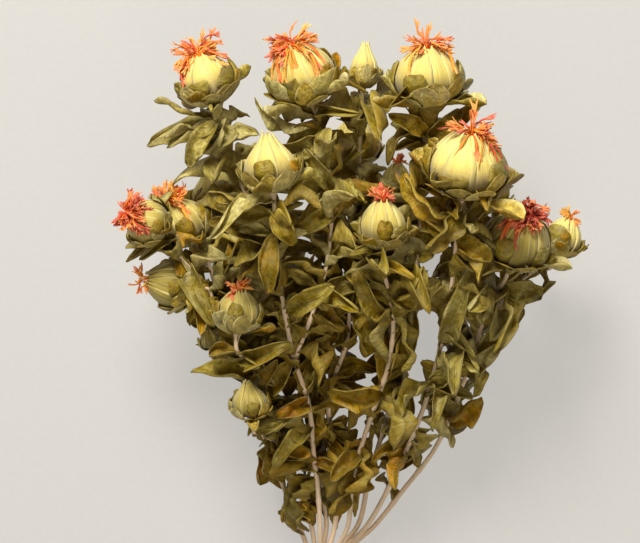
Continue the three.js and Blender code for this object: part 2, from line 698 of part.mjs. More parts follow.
function leafyStem(plant) {
  const stems = [plant.main, ...plant.branches].map((limb, i) => {
    const radii = i === 0 ? [STEM_RADIUS_LOW, STEM_RADIUS_HIGH] : [BRANCH_RADIUS_LOW, BRANCH_RADIUS_HIGH];
    return solidOf(tube(limb, ...radii, STEM_SIDES));
  });
  const rowsOf = (blade) => (blade.length < SMALL_LEAF ? SMALL_LEAF_ROWS : LEAF_ROWS);
  const leaves = plant.blades.map((blade) => bladeSolid(blade, rowsOf(blade)));
  return joined([...stems, ...leaves]);
}

function flowerHead(name) {
  const bracts = bractsOf[name].map((blade) => bladeSolid(blade, BRACT_ROWS));
  return joined([solidOf(globe(HEADS[name])), ...bracts]);
}

// A tuft of florets: a low drum over the globe's mouth, whose every side is drawn out into a needle
// that rises and bends out over the globe.
function tuft(name, number) {
  const head = HEADS[name];
  const { up, side, out } = headFrame(head);
  const count = head.florets;
  const seat = at(head.centre).addScaledVector(up, head.radius * head.tall + SEAT_GAP);
  const place = (turn, radius, height) => seat.clone().addScaledVector(up, height)
    .addScaledVector(side, radius * Math.cos(turn)).addScaledVector(out, radius * Math.sin(turn));
  const roll = dice(300 + number);
  const drum = Math.max(1.6, count * 0.2);
  const corners = [];
  for (const height of [0, 1.5])
    for (let i = 0; i < count; i++) corners.push(place((2 * Math.PI * (i - 0.5)) / count, drum, height));
  const triangles = [];
  for (let i = 2; i < count; i++) triangles.push(0, i - 1, i, count, count + i, count + i - 1);
  for (let i = 0; i < count; i++) {
    const next = (i + 1) % count;
    const root = [i, next, count + next, count + i];
    const turn = (2 * Math.PI * i) / count;
    const bend = turn + between(roll, -0.1, 0.1);
    const end = bend + between(roll, -0.2, 0.2);
    const reach = head.radius * between(roll, 0.55, 1) + drum;
    const rise = head.radius * between(roll, ...(LOW_TUFTS[name] ?? TUFT_RISE));
    const [half, knee] = [0.045, drum + 0.45 * (reach - drum)];
    const ring = corners.length;
    for (const [turned, height] of [[-half, -0.35], [half, -0.35], [half, 0.35], [-half, 0.35]])
      corners.push(place(bend + (turned * 10) / knee, knee, 1.1 + 0.55 * rise + height));
    corners.push(place(end, reach, 1.1 + rise));
    for (let k = 0; k < 4; k++) {
      const after = (k + 1) % 4;
      triangles.push(root[after], root[k], ring + after, root[k], ring + k, ring + after);
      triangles.push(ring + after, ring + k, ring + 4);
    }
  }
  const geometry = new THREE.BufferGeometry();
  geometry.setAttribute("position", new THREE.Float32BufferAttribute(corners.flatMap((c) => c.toArray()), 3));
  geometry.setIndex(triangles);
  return joined([solidOf(geometry)]);
}

// The twine tie: turns of twine side by side round the waist, as one ridged band.
function tie() {
  const corners = [];
  for (const { slot } of STEMS) corners.push(V(slot[0] * SLOT_PITCH, 0, tieRow(slot[1])));
  const middle = V(0, 0, tieRow(0.7));
  const bandPoints = TWINE_TURNS * 2;
  const reachAt = (angle) => {
    const way = V(Math.cos(angle), 0, Math.sin(angle));
    const furthest = Math.max(...corners.map((corner) => corner.clone().sub(middle).dot(way)));
    return furthest + STEM_RADIUS_LOW + SEAT_GAP;
  };
  const cornerAt = (angle, extra, y) => {
    const step = 0.01;
    const reach = reachAt(angle) + extra;
    const slope = (reachAt(angle + step) - reachAt(angle - step)) / (2 * step);
    const x = reach * Math.cos(angle) - slope * Math.sin(angle);
    const z = reach * Math.sin(angle) + slope * Math.cos(angle);
    return V(middle.x + x, y, middle.z + z);
  };
  const section = [[0, -TIE_HALF_WIDTH], [0, TIE_HALF_WIDTH]];
  for (let i = bandPoints; i >= 0; i--) {
    const y = TIE_HALF_WIDTH * ((2 * i) / bandPoints - 1);
    section.push([i % 2 ? 2 * TWINE_RADIUS : 1.3 * TWINE_RADIUS, y]);
  }
  const places = [];
  const triangles = [];
  const count = section.length;
  for (let ring = 0; ring < TIE_SIDES; ring++) {
    const angle = (2 * Math.PI * ring) / TIE_SIDES;
    for (const [extra, y] of section) places.push(...cornerAt(angle, extra, y).toArray());
    for (let i = 0; i < count; i++) {
      const start = ring * count;
      const next = ((ring + 1) % TIE_SIDES) * count;
      const after = (i + 1) % count;
      const [a, b, c, d] = [start + i, start + after, next + after, next + i];
      triangles.push(a, c, b, a, d, c);
    }
  }
  const geometry = new THREE.BufferGeometry();
  geometry.setAttribute("position", new THREE.Float32BufferAttribute(places, 3));
  geometry.setIndex(triangles);
  return joined([solidOf(geometry)]);
}

// The bunch

const bunch = new THREE.Group();
const leafGreen = material(0x7a6a24, 0.7);
const headYellow = material(0xd9c468, 0.65);
const floretOrange = material(0xd2592a, 0.7);
const twineBrown = material(0xa98352, 0.9);

function add(name, solid, finish) {
  const mesh = new THREE.Mesh(geometryOf(solid), finish);
  mesh.name = name;
  bunch.add(mesh);
}

for (const plant of plants) add(plant.name, leafyStem(plant), leafGreen);
headNames.forEach((name, number) => {
  add(name, flowerHead(name), headYellow);
  if (HEADS[name].florets) add(name.replace("head", "florets"), tuft(name, number), floretOrange);
});
add("twine_tie", tie(), twineBrown);

// Stand the bunch with its box's middle over the origin.
const box = new THREE.Box3().setFromObject(bunch);
const middle = box.getCenter(V(0, 0, 0));
for (const mesh of bunch.children) mesh.position.set(-middle.x, -middle.y, -box.min.z);

export default bunch;
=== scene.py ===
# %% [markdown]
# A bunch of dried safflower lies on its back on a pale table, and the camera looks straight down on it.
# The solids of the part give each stem, leaf, flower head and tuft its place. This lesson dresses them:
# every solid is replaced by a finer piece that keeps its form, and the small crumpled leaves that the
# solids leave out are added between them.

import math

import bmesh
import bpy
import numpy as np
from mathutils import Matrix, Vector
from mathutils.kdtree import KDTree


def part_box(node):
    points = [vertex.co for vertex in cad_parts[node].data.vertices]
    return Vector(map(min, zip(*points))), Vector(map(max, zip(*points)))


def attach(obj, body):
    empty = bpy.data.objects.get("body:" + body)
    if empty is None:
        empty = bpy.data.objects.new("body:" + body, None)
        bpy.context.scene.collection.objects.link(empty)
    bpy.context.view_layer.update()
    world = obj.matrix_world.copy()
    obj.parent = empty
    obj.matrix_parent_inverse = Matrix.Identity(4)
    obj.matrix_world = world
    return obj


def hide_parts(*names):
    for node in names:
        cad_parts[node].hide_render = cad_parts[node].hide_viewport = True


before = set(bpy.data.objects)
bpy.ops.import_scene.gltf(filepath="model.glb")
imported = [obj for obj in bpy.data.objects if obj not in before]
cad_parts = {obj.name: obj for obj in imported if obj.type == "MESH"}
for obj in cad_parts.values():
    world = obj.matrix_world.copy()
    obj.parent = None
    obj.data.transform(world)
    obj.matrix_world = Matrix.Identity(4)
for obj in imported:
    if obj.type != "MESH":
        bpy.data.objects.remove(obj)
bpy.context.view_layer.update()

# %% [markdown]
# The sizes below are the part's own, in millimetres, because a stem is 3.6 mm thick and numbers like that
# are easy to picture. The part stands with the middle of its box over the origin. The twine tie is at the
# origin of the sizes below, so the tie's box says how far everything moves. A name that ends in SHARE is a
# fraction of something else, such as of a head's radius.

# %% Sizes and places
MM = 0.001
low_corner, high_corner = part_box("twine_tie")
SHIFT = np.array([(low_corner.x + high_corner.x) / 2, (low_corner.y + high_corner.y) / 2, 0])


def in_place(points):
    return np.asarray(points) * MM + SHIFT


print("the tie's middle is at", SHIFT)

# %% [markdown]
# Each flower head is a row: the centre of its globe, the way it points, its radius, how tall it is for its
# radius, the count of florets in its solid, the count of its bracts, and how green its globe is.

# %% The flower heads
HEADS = {
    "head_01": ((-53, 232, 85), (-0.3, 0.93, 0.15), 11.7, 1, 9, 8, 0.2),
    "head_02": ((-10, 234, 100), (-0.28, 0.85, 0.42), 14.2, 1, 10, 9, 0.5),
    "head_03": ((18, 238, 70), (0.05, 1, 0), 6, 1.5, 0, 5, 0.15),
    "head_04": ((46, 233, 95), (0, 0.95, 0.25), 14.4, 0.95, 8, 9, 0.32),
    "head_05": ((-24, 192, 118), (-0.1, 0.97, 0.15), 11.5, 1, 0, 8, 0.3),
    "head_06": ((63, 193, 112), (0.12, 0.9, 0.35), 16.5, 0.92, 9, 9, 0.0),
    "head_07": ((-80, 168, 88), (-0.75, 0.35, 0.5), 9.5, 1, 11, 6, 0.75),
    "head_08": ((-64, 168, 62), (-0.5, 0.8, 0.25), 10.5, 1, 11, 6, 0.7),
    "head_09": ((-70, 140, 68), (-0.95, 0.15, 0.2), 10, 1.1, 6, 7, 1.0),
    "head_10": ((-39, 127, 88), (0.05, 1, 0.1), 9.5, 1, 8, 7, 0.75),
    "head_11": ((-34, 86, 74), (-0.1, 0.9, 0.3), 7.6, 1, 0, 6, 1.0),
    "head_12": ((-53, 114, 60), (-0.2, 0.9, 0.1), 3.6, 1.2, 0, 3, 0.9),
    "head_13": ((26, 166, 100), (0, 0.98, 0.15), 10, 1.1, 8, 7, 0.55),
    "head_14": ((33, 188, 58), (0.1, 1, 0), 6, 1.1, 6, 4, 0.8),
    "head_15": ((88, 160, 85), (0.25, 0.8, 0.5), 13.6, 0.95, 12, 8, 0.85),
    "head_16": ((110, 161, 52), (0.35, 0.93, 0.05), 8.2, 1.1, 7, 6, 0.1),
    "head_17": ((-46, 188, 9.3), (-0.15, 1, 0.06), 10, 1, 7, 5, 0.7),
    "head_18": ((-54, 181, 38), (-0.1, 1, 0.15), 7.6, 1.1, 0, 5, 0.2),
    "head_19": ((14, 206, 10.2), (0.05, 1, 0.06), 11, 1, 7, 5, 0.9),
    "head_20": ((74, 184, 10.2), (0.2, 0.97, 0.06), 11, 1, 7, 5, 0.8),
}
HEAD_FACTS = ("centre", "axis", "radius", "tall", "florets", "bracts", "green")
HEADS = {name: dict(zip(HEAD_FACTS, facts)) for name, facts in HEADS.items()}
print("heads", len(HEADS))

# %% [markdown]
# Each stem is its place in the tie, the points it passes above the tie, its head, and its branches. A
# branch leaves the stem where the stem passes the height given first.

# %% The stems
STEMS = [
    ((-1.5, 0), [(-12, 25, 8), (-19, 43, 14), (-27, 65, 24), (-35.5, 88, 36), (-43.6, 112, 46),
     (-49.5, 136, 52)], "head_08",
     [(112, [(-51, 125, 58)], "head_09"), (130, [(-57, 143, 66), (-66, 153, 76)], "head_07"),
      (95, [(-47, 103, 48)], "head_12")]),
    ((-1, 1), [(-6, 25, 14), (-10, 38, 20), (-18, 61, 33), (-26, 83, 47), (-32, 102, 63)], "head_10",
     [(62, [(-28, 70, 52)], "head_11")]),
    ((-0.5, 2), [(-2, 25, 20), (-3, 43, 28), (-5, 61, 38), (-7, 83, 52), (-11, 97, 63), (-14, 106, 70),
     (-18, 128, 84), (-22, 155, 99)], "head_05",
     [(104, [(-7, 122, 78), (0, 144, 85), (3, 166, 88), (2, 190, 89)], "head_02")]),
    ((-0.5, 0), [(1, 25, 7), (-2, 47, 13), (-4, 70, 20), (-7.6, 97, 29), (-13.5, 124, 39),
     (-22.5, 148, 49), (-33, 173, 58), (-42, 196, 68)], "head_01",
     [(140, [(-30, 155, 40), (-44, 166, 37)], "head_18"),
      (108, [(-18, 130, 25), (-33, 154, 14)], "head_17")]),
    ((0, 1), [(5, 25, 13), (6, 52, 22), (2, 81, 37), (5, 97, 45), (10, 112, 53), (12, 133, 59),
     (12, 155, 62), (14, 178, 63), (16, 200, 65)], "head_03",
     [(108, [(13, 135, 37), (15, 165, 20)], "head_19")]),
    ((0.5, 2), [(11, 25, 20), (13, 47, 30), (19, 70, 42), (25, 88, 53), (30, 106, 65), (31, 128, 79)],
     "head_13", [(112, [(34, 135, 66), (36, 160, 60)], "head_14")]),
    ((0.5, 0), [(16, 25, 8), (21, 47, 14), (27.5, 70, 22), (34, 94.5, 32), (39, 124, 45), (43, 155, 58),
     (45, 187, 71)], "head_04", [(110, [(46, 133, 32), (60, 156, 17)], "head_20")]),
    ((1, 1), [(20, 25, 14), (30, 43, 22), (37, 58.5, 31), (47, 85.5, 47), (54, 115, 65), (58, 142, 82)],
     "head_06", []),
    ((1.5, 0), [(24, 25, 9), (38, 43, 15), (52, 62, 22), (62, 85.5, 32), (70, 110, 44), (75, 130, 56)],
     "head_15", [(118, [(86, 136, 48), (99, 147, 49)], "head_16")]),
]
print("stems", len(STEMS))

# %% [markdown]
# Random numbers that come out the same on every run make every leaf land where the part has it. The rule
# is a plain one that any language can repeat.

# %% Repeatable random numbers
def dice(seed):
    most = 4294967296
    state = [(seed * 7919 + 104729) % most]

    def roll():
        state[0] = (state[0] * 1664525 + 1013904223) % most
        return state[0] / most

    roll()
    roll()
    return roll


def between(roll, low, high):
    return low + (high - low) * roll()


def drawn(roll, ranges):
    return {fact: between(roll, low, high) for fact, (low, high) in ranges.items()}


# %% [markdown]
# Places and directions are arrays of three numbers. A list of places has a row for each, and these four
# functions save writing the same sums again and again.

# %% Helpers for places and directions
def vec(values):
    return np.array(values, dtype=float)


def unit(vector):
    return vector / np.linalg.norm(vector)


def columns(*parts):
    return np.stack(np.broadcast_arrays(*parts), axis=1)


def turned(side, out, angle):
    return np.outer(np.cos(angle), side) + np.outer(np.sin(angle), out)


# %% [markdown]
# A stem is a smooth line through a few points. A Blender curve could give it, but the leaves need to know
# the line's place and direction at any distance, so the line is worked out here and the tube is wrapped
# round it later. The frame of each place turns as little as it can, so the tube isn't twisted.

# %% A smooth line through points
STEPS_A_SPAN = 10


class Limb:
    def __init__(self, points):
        self.point = self.smooth([vec(p) for p in points])
        steps = len(self.point) - 1
        runs = np.linalg.norm(np.diff(self.point, axis=0), axis=1)
        self.distance = np.concatenate([[0], np.cumsum(runs)])
        self.length = self.distance[-1]
        side = vec((1, 0, 0))
        frames = []
        for i in range(steps + 1):
            along = unit(self.point[min(i + 1, steps)] - self.point[max(i - 1, 0)])
            side = unit(side - along * side.dot(along))
            frames.append((along, side, np.cross(side, along)))
        self.along, self.side, self.up = (np.array(part) for part in zip(*frames))

    @staticmethod
    def smooth(points):
        ends = [2 * points[0] - points[1], *points, 2 * points[-1] - points[-2]]
        line = []
        for i in range(len(points) - 1):
            p0, p1, p2, p3 = ends[i:i + 4]
            d0, d1, d2 = (np.sqrt(np.linalg.norm(b - a)) for a, b in ((p0, p1), (p1, p2), (p2, p3)))
            pull1 = ((p1 - p0) / d0 - (p2 - p0) / (d0 + d1) + (p2 - p1) / d1) * d1
            pull2 = ((p2 - p1) / d1 - (p3 - p1) / (d1 + d2) + (p3 - p2) / d2) * d1
            for step in range(STEPS_A_SPAN):
                t = step / STEPS_A_SPAN
                bend = (-3 * p1 + 3 * p2 - 2 * pull1 - pull2) * t * t
                line.append(p1 + pull1 * t + bend + (2 * p1 - 2 * p2 + pull1 + pull2) * t ** 3)
        line.append(points[-1])
        return np.array(line)

    def at(self, distance):
        last = len(self.distance) - 1
        i = 0
        while i < last - 1 and self.distance[i + 1] < distance:
            i += 1
        share = (distance - self.distance[i]) / (self.distance[i + 1] - self.distance[i])
        return tuple(part[i] + (part[i + 1] - part[i]) * share
                     for part in (self.point, self.along, self.side, self.up))

    def reaching(self, y):
        return self.distance[np.argmax(self.point[:, 1] >= y)]


# %% [markdown]
# A head points along its axis. The other two directions of its frame let a bract or a floret be placed round
# it by an angle. A stem or branch ends under its head's foot, and meets it straight.

# %% The limbs of the stems
STEM_RADIUS_LOW = 1.8
TAIL_LENGTH = 150
TAIL_MIDDLE = 60
TAIL_SPREAD = 1.35
CUT_UNEVENNESS = 3
REST_SINK = 0.3
TIE_HALF_WIDTH = 5
TWINE_RADIUS = 1
SLOT_PITCH = 4
SLOT_ROW_HEIGHT = 3.5
SEAT_GAP = 0.3
GLOBE_FOOT = -0.86
NECK_SHARE = 0.6
NECK_LEAST = 2


def head_frame(head):
    up = unit(vec(head["axis"]))
    side = unit(np.cross(vec((0, 0, 1)), up))
    return up, side, np.cross(side, up)


def end_in_head(points, name):
    head = HEADS[name]
    up = head_frame(head)[0]
    seat = vec(head["centre"]) + up * (GLOBE_FOOT * head["radius"] * head["tall"] - SEAT_GAP)
    neck = seat - up * (NECK_SHARE * head["radius"] + NECK_LEAST)
    return Limb([*points, neck, seat])


def tie_row(row):
    return STEM_RADIUS_LOW + 2 * TWINE_RADIUS + row * SLOT_ROW_HEIGHT


def main_limb(slot, route, head):
    x, z = slot[0] * SLOT_PITCH, tie_row(slot[1])
    low = STEM_RADIUS_LOW - REST_SINK + slot[1] * SLOT_ROW_HEIGHT
    return end_in_head([
        (x * TAIL_SPREAD, -TAIL_LENGTH - CUT_UNEVENNESS * math.sin(slot[0] * 5 + slot[1]), low),
        (x * TAIL_SPREAD, -TAIL_MIDDLE, low),
        (x, -TIE_HALF_WIDTH - 2, z),
        (x, TIE_HALF_WIDTH + 2, z),
        *route,
    ], head)


plants = []
for number, (slot, route, head, branches) in enumerate(STEMS):
    main = main_limb(slot, route, head)
    limbs = [main]
    for height, branch_route, branch_head in branches:
        start = main.at(main.reaching(height))[0]
        limbs.append(end_in_head([start, *branch_route], branch_head))
    heads = [HEADS[name] for name in (head, *(branch_head for _, _, branch_head in branches))]
    plants.append({"name": f"leafy_stem_{number + 1}", "limbs": limbs, "heads": heads, "blades": []})
print("limbs", sum(len(plant["limbs"]) for plant in plants))

# %% [markdown]
# A leaf is a blade: a strip along its midrib that widens and narrows, folds up along the midrib, waves at
# its edges, bows and droops. One formula gives any point of it, and both the part and this scene use it.
# Here the blade may also curl at its tip and crumple, which dried leaves do.

# %% A point of a blade
ROOT_WIDTH_SHARE = 0.22
TIP_ROUNDING = 0.64
RAGGEDNESS = 0.04
CURL_START = 0.55


def blade_half_width(blade, along, fine):
    root = ROOT_WIDTH_SHARE * (1 - along) ** 3
    swell = np.maximum(np.sin(np.pi * along ** blade["belly"]), 0)
    if not fine:
        return blade["width"] / 2 * (root + swell)
    ragged = 1 + RAGGEDNESS * np.sin(23 * along + blade["phase"]) * np.sin(9 * along + 2 * blade["phase"])
    return blade["width"] / 2 * (root + swell ** (1 - TIP_ROUNDING * along)) * ragged


def blade_points(blade, along, across, fine=False):
    along, across = np.asarray(along, float), np.asarray(across, float)
    way, face = blade["way"], blade["face"]
    side = np.cross(way, face)
    turn = (blade["twist"] * along)[..., None]
    side_here = side * np.cos(turn) + face * np.sin(turn)
    face_here = face * np.cos(turn) - side * np.sin(turn)
    half = blade_half_width(blade, along, fine)
    ripple = np.sin(blade["phase"] + 2 * np.pi * blade["waves"] * along + np.where(across > 0, 0, 2))
    lift = half * across ** 2 * (blade["fold"] + blade["ripple"] * ripple)
    length = blade["length"]
    rise = length * (4 * blade["arch"] * along * (1 - along) - blade["droop"] * along ** 2)
    if fine:
        rise = rise - length * blade["curl"] * np.maximum(along - CURL_START, 0) ** 2
        crumple = np.sin(6 * along + blade["phase"]) * np.cos(3 * across + 2 * blade["phase"])
        crumple = crumple + 0.5 * np.sin(13 * along + 2 * across + 3 * blade["phase"])
        crumple = crumple + 0.4 * across ** 2 * np.sin(17 * along + 5 * blade["phase"] + np.sign(across))
        lift = lift + half * blade["crumple"] * crumple * np.minimum(4 * along, 1)
        lift = lift + half * 1.4 * blade["crumple"] * across ** 4
        across = across * (1 - 0.5 * blade["crumple"] * across ** 2)
    spine = blade["base"] + way * (length * along)[..., None] + face * rise[..., None]
    return spine + side_here * (half * across)[..., None] + face_here * lift[..., None]


# %% [markdown]
# Leaves of a bunch don't pass through each other. Blender could test meshes against each other, but that is
# slow for hundreds of leaves. So each piece that is placed fills some spots, which are small balls of a
# known reach, and the next leaf has room where its own spots stay clear of them.

# %% Room in the bunch
MOST_SPOTS = 40000
LEAF_REACH = 1.4
spots_taken = {"count": 0, "point": np.zeros((MOST_SPOTS, 3)), "reach": np.zeros(MOST_SPOTS)}
spots_taken["owner"] = np.empty(MOST_SPOTS, dtype="U16")


def fill(owner, points, reach):
    points = np.atleast_2d(points)
    start, end = spots_taken["count"], spots_taken["count"] + len(points)
    spots_taken["point"][start:end] = points
    spots_taken["reach"][start:end] = reach
    spots_taken["owner"][start:end] = owner
    spots_taken["count"] = end


def is_clear(owner, spots, kin_share, share=1.0):
    point, reach, owners = (spots_taken[fact][:spots_taken["count"]] for fact in ("point", "reach", "owner"))
    middle = spots.mean(axis=0)
    spread = np.linalg.norm(spots - middle, axis=1).max()
    near = np.linalg.norm(point - middle, axis=1) < spread + reach + LEAF_REACH
    least = (reach[near] + LEAF_REACH) * np.where(owners[near] == owner, kin_share, 1) * share
    apart = np.linalg.norm(point[near][None] - spots[:, None], axis=2)
    return not (apart < least[None]).any()


print("room for", MOST_SPOTS, "spots")

# %% [markdown]
# A blade is tested at the spots of a grid on it, and at its root, which may come close to its own stem. All
# leaves stay above the table. The leaves that grow by rule also stay inside the outline of the bunch, which
# is its left and right side at a few heights, and below its front, which rises towards the heads. They also
# stay out of the windows, where the photograph shows the background between the stems. A window is an oval:
# its middle, half its width and half its height. The stems fill the first spots.

# %% Where a leaf may be
TABLE_CLEARANCE = 1.2
STEM_ROOM = 1.9
BRANCH_ROOM = 1.3
ROOM_SPACING = 3
OUTLINE = [
    (20, -22, 34), (45, -24, 48), (65, -30, 66), (90, -42, 76), (118, -62, 92), (150, -92, 112),
    (190, -95, 116), (215, -80, 98), (262, -76, 76),
]
FRONT_AT_TIE = 26
FRONT_RISE = 0.62
FRONT_MOST = 138
WINDOWS = [
    (46, 117, 6, 11), (42.5, 101, 3, 7), (51, 149, 4.5, 9), (57, 159, 3, 5), (40, 79, 3.5, 6),
    (20, 113, 4, 9), (23, 92, 2, 5), (28, 62, 4.5, 3), (16.5, 71.5, 2, 6), (24, 36, 8, 9),
    (37, 197, 3.5, 5), (22, 202, 4, 7), (10, 191, 2, 5), (-40, 208, 2.5, 6), (-51.5, 144, 4, 3.5),
]


def grid_of(along, across):
    return [part.ravel() for part in np.meshgrid(along, across, indexing="ij")]


BLADE_GRID = grid_of([0.3, 0.45, 0.6, 0.75, 0.88], [-1, -0.5, 0, 0.5, 1])
ROOT_GRID = grid_of([0, 0.08, 0.16, 0.23], [-1, 1])


def blade_tip(blade):
    return blade_points(blade, [1.0], [0.0])


def blade_spots(blade):
    return np.concatenate([blade_tip(blade), blade_points(blade, *BLADE_GRID)])


def above_table(spots):
    return (spots[:, 2] > TABLE_CLEARANCE).all()


def inside_outline(spots):
    for x, y, z in spots:
        if z < TABLE_CLEARANCE or z > min(FRONT_AT_TIE + FRONT_RISE * y, FRONT_MOST):
            return False
        if any(((x - at_x) / wide) ** 2 + ((y - at_y) / high) ** 2 < 1 for at_x, at_y, wide, high in WINDOWS):
            return False
        above = next((i for i, row in enumerate(OUTLINE) if row[0] > y), -1)
        if above < 1:
            return False
        (y0, low0, high0), (y1, low1, high1) = OUTLINE[above - 1:above + 1]
        share = (y - y0) / (y1 - y0)
        if not low0 + (low1 - low0) * share < x < high0 + (high1 - high0) * share:
            return False
    return True


for plant in plants:
    for number, limb in enumerate(plant["limbs"]):
        for distance in np.arange(0, limb.length - 4, ROOM_SPACING):
            fill(plant["name"], limb.at(distance)[0], BRANCH_ROOM if number else STEM_ROOM)
print("spots filled by the stems", spots_taken["count"])

# %% [markdown]
# The bracts are the leafy scales round a head: a cup of upright ones, and a ring of larger ones that spread
# below it. A bract is a blade like a leaf, which starts on the globe and leans away from its axis.

# %% A bract
BRACT_RINGS = [
    {"height": -0.58, "depth": 0.5, "leans": (0.5, 0.75), "lengths": (0.85, 1.1), "width": 0.48},
    {"height": -0.8, "depth": 0.2, "leans": (1.05, 1.7), "lengths": (1.4, 1.9), "width": 0.66},
]


def bract(head, turn, ring, roll):
    up, side, out = head_frame(head)
    radius = head["radius"]
    around = side * math.cos(turn) + out * math.sin(turn)
    base = vec(head["centre"]) + up * (ring["height"] * radius * head["tall"])
    base = base + around * (ring["depth"] * radius)
    lean = between(roll, *ring["leans"])
    length = radius * between(roll, *ring["lengths"]) + 1.5
    return {
        "base": base,
        "way": around * math.sin(lean) + up * math.cos(lean),
        "face": up * math.sin(lean) - around * math.cos(lean),
        "length": length,
        "width": radius * ring["width"] + 1.2,
        "belly": 1.5, "fold": 0.3, "ripple": 0, "waves": 1, "phase": 0,
        "twist": between(roll, -0.4, 0.4),
        "arch": -0.06,
        "droop": between(roll, -0.25, 0),
        "curl": 0.3, "crumple": 0.22,
    }


print("rings of bracts", len(BRACT_RINGS))

# %% [markdown]
# Each head and the florets above it fill their room first. Then its bracts are set round it at even angles,
# a little shaken. One that finds no room is nudged round the head, or left out.

# %% Place the bracts
HEAD_CLEARANCE = 1.6
TUFT_MIDDLE_SHARE = 1.35
TUFT_ROOM_SHARE = 0.8
BUD_ROOM_SHARE = 0.5
CUP_SHARE = 0.55

for name, head in HEADS.items():
    centre, up = vec(head["centre"]), head_frame(head)[0]
    fill(name, centre, head["radius"] + HEAD_CLEARANCE)
    if head["florets"]:
        middle = centre + up * (TUFT_MIDDLE_SHARE * head["radius"] * head["tall"])
        fill(name, middle, head["radius"] * TUFT_ROOM_SHARE)
    else:
        fill(name, centre + up * (head["radius"] * head["tall"]), head["radius"] * BUD_ROOM_SHARE)

bracts_of = {}
for number, (name, head) in enumerate(HEADS.items()):
    roll = dice(500 + number)
    bracts_of[name] = []
    inner = math.ceil(head["bracts"] * CUP_SHARE)
    for i in range(head["bracts"]):
        ring = BRACT_RINGS[0 if i < inner else 1]
        share = i / inner if i < inner else (i - inner + 0.5) / (head["bracts"] - inner)
        start = 2 * math.pi * share + between(roll, -0.15, 0.15)
        for nudge in (0, 0.3, -0.3, 0.6, -0.6):
            made = bract(head, start + nudge, ring, dice(900 + number * 20 + i))
            spots = blade_spots(made)
            if above_table(spots) and is_clear(name, spots, 0):
                bracts_of[name].append(made)
                break
    for made in bracts_of[name]:
        fill(name, blade_spots(made), LEAF_REACH)
print("bracts", {name: len(made) for name, made in bracts_of.items()})

# %% [markdown]
# The leaves that show best are placed one by one from a list. A row is the stem and which of its limbs, the
# height of the root, the tip, the width and the bow. The folds and waves of the leaf are random. Its tilt
# about its midrib decides how much of its face the camera sees.

# %% The large leaves
LARGE_LEAVES = [
    ((4, 0), 213, (-76, 226, 82), 7, -0.1), ((4, 0), 214, (-62, 193, 84), 11, 0.2),
    ((4, 0), 212, (-46, 202, 94), 10, 0.15), ((4, 0), 205, (-30, 208, 82), 9, 0.2),
    ((3, 1), 210, (-32, 221, 96), 9, 0.12), ((3, 1), 205, (-24, 200, 105), 11, 0.15),
    ((5, 0), 212, (2, 232, 66), 7, -0.1), ((5, 0), 212, (33, 228, 68), 9, 0.12),
    ((7, 0), 206, (30, 216, 100), 10, 0.18), ((7, 0), 203, (62, 218, 90), 10, 0.15),
    ((7, 0), 200, (72, 222, 72), 9, -0.12), ((7, 0), 211, (27, 195, 86), 7, 0.15),
    ((7, 0), 190, (60, 203, 82), 10, 0.15), ((5, 0), 187, (-9, 196, 72), 9, 0.12),
    ((3, 0), 170, (-53, 180, 104), 13, 0.12), ((3, 0), 172, (-14, 157, 116), 11, 0.2),
    ((3, 0), 162, (-26, 136, 112), 11, 0.15), ((3, 0), 128, (4, 138, 96), 12, 0.15),
    ((3, 1), 180, (-8, 200, 104), 9, 0.1), ((3, 1), 170, (-16, 162, 98), 10, 0.15),
    ((8, 0), 166, (34, 188, 106), 12, 0.12), ((8, 0), 173, (46, 155, 116), 12, 0.15),
    ((8, 0), 160, (74, 150, 104), 11, 0.2), ((8, 0), 160, (86, 186, 84), 9, 0.12),
    ((9, 0), 120, (60, 146, 76), 14, 0.15), ((8, 0), 112, (66, 144, 86), 12, 0.15),
    ((9, 0), 138, (100, 134, 68), 13, 0.15), ((9, 0), 106, (92, 127, 56), 10, 0.1),
    ((9, 0), 98, (50, 137, 72), 8, 0.1), ((8, 0), 92, (64, 104, 68), 10, 0.15),
    ((9, 0), 86, (46, 103, 50), 9, 0.15), ((9, 0), 74, (72, 86, 46), 11, 0.15),
    ((1, 0), 128, (-26, 148, 66), 12, 0.15), ((2, 0), 96, (-60, 100, 70), 10, 0.15),
    ((2, 0), 88, (-24, 104, 80), 11, 0.15), ((6, 0), 122, (12, 148, 92), 10, 0.12),
    ((6, 0), 124, (44, 146, 98), 10, 0.15),
]
LARGE_LEAF_RANGES = {
    "belly": (0.9, 1.25), "fold": (0.15, 0.5), "ripple": (0.15, 0.35), "waves": (0.8, 1.7),
    "phase": (0, 6), "twist": (-0.7, 0.7),
}


def large_leaf(limb, height, tip, width, bow, number, tilt):
    base = limb.at(limb.reaching(height))[0]
    way = vec(tip) - base
    length = np.linalg.norm(way)
    way = way / length
    level = unit(vec((0, 0, 1)) - way * way[2])
    face = level * math.cos(tilt) + np.cross(way, level) * math.sin(tilt)
    return {
        "base": base, "way": way, "face": face, "length": length, "width": width,
        **drawn(dice(7000 + number), LARGE_LEAF_RANGES),
        "arch": bow, "droop": 0, "curl": 0.5, "crumple": 0.38,
    }


print("large leaves", len(LARGE_LEAVES))

# %% [markdown]
# A leaf is tried with several tilts, and kept the first time that it has room. Leaves of one plant may come
# a little closer to each other than to the leaves of the next. A leaf remembers the limb that it is on and
# the distance along it, because the stem swells there.

# %% Place the large leaves
KIN_SHARE = 0.8
LARGE_TILTS = (0.2, -0.3, 0.6, -0.7, 1, -1.1, 1.4)


def keep_if_clear(plant, leaf, may_be, kin_share, share=1.0, **facts):
    spots = blade_spots(leaf)
    roots = blade_points(leaf, *ROOT_GRID)
    name = plant["name"]
    if not (may_be(spots) and is_clear(name, roots, 0, share) and is_clear(name, spots, kin_share, share)):
        return False
    plant["blades"].append({**leaf, **facts})
    fill(name, spots, LEAF_REACH)
    return True


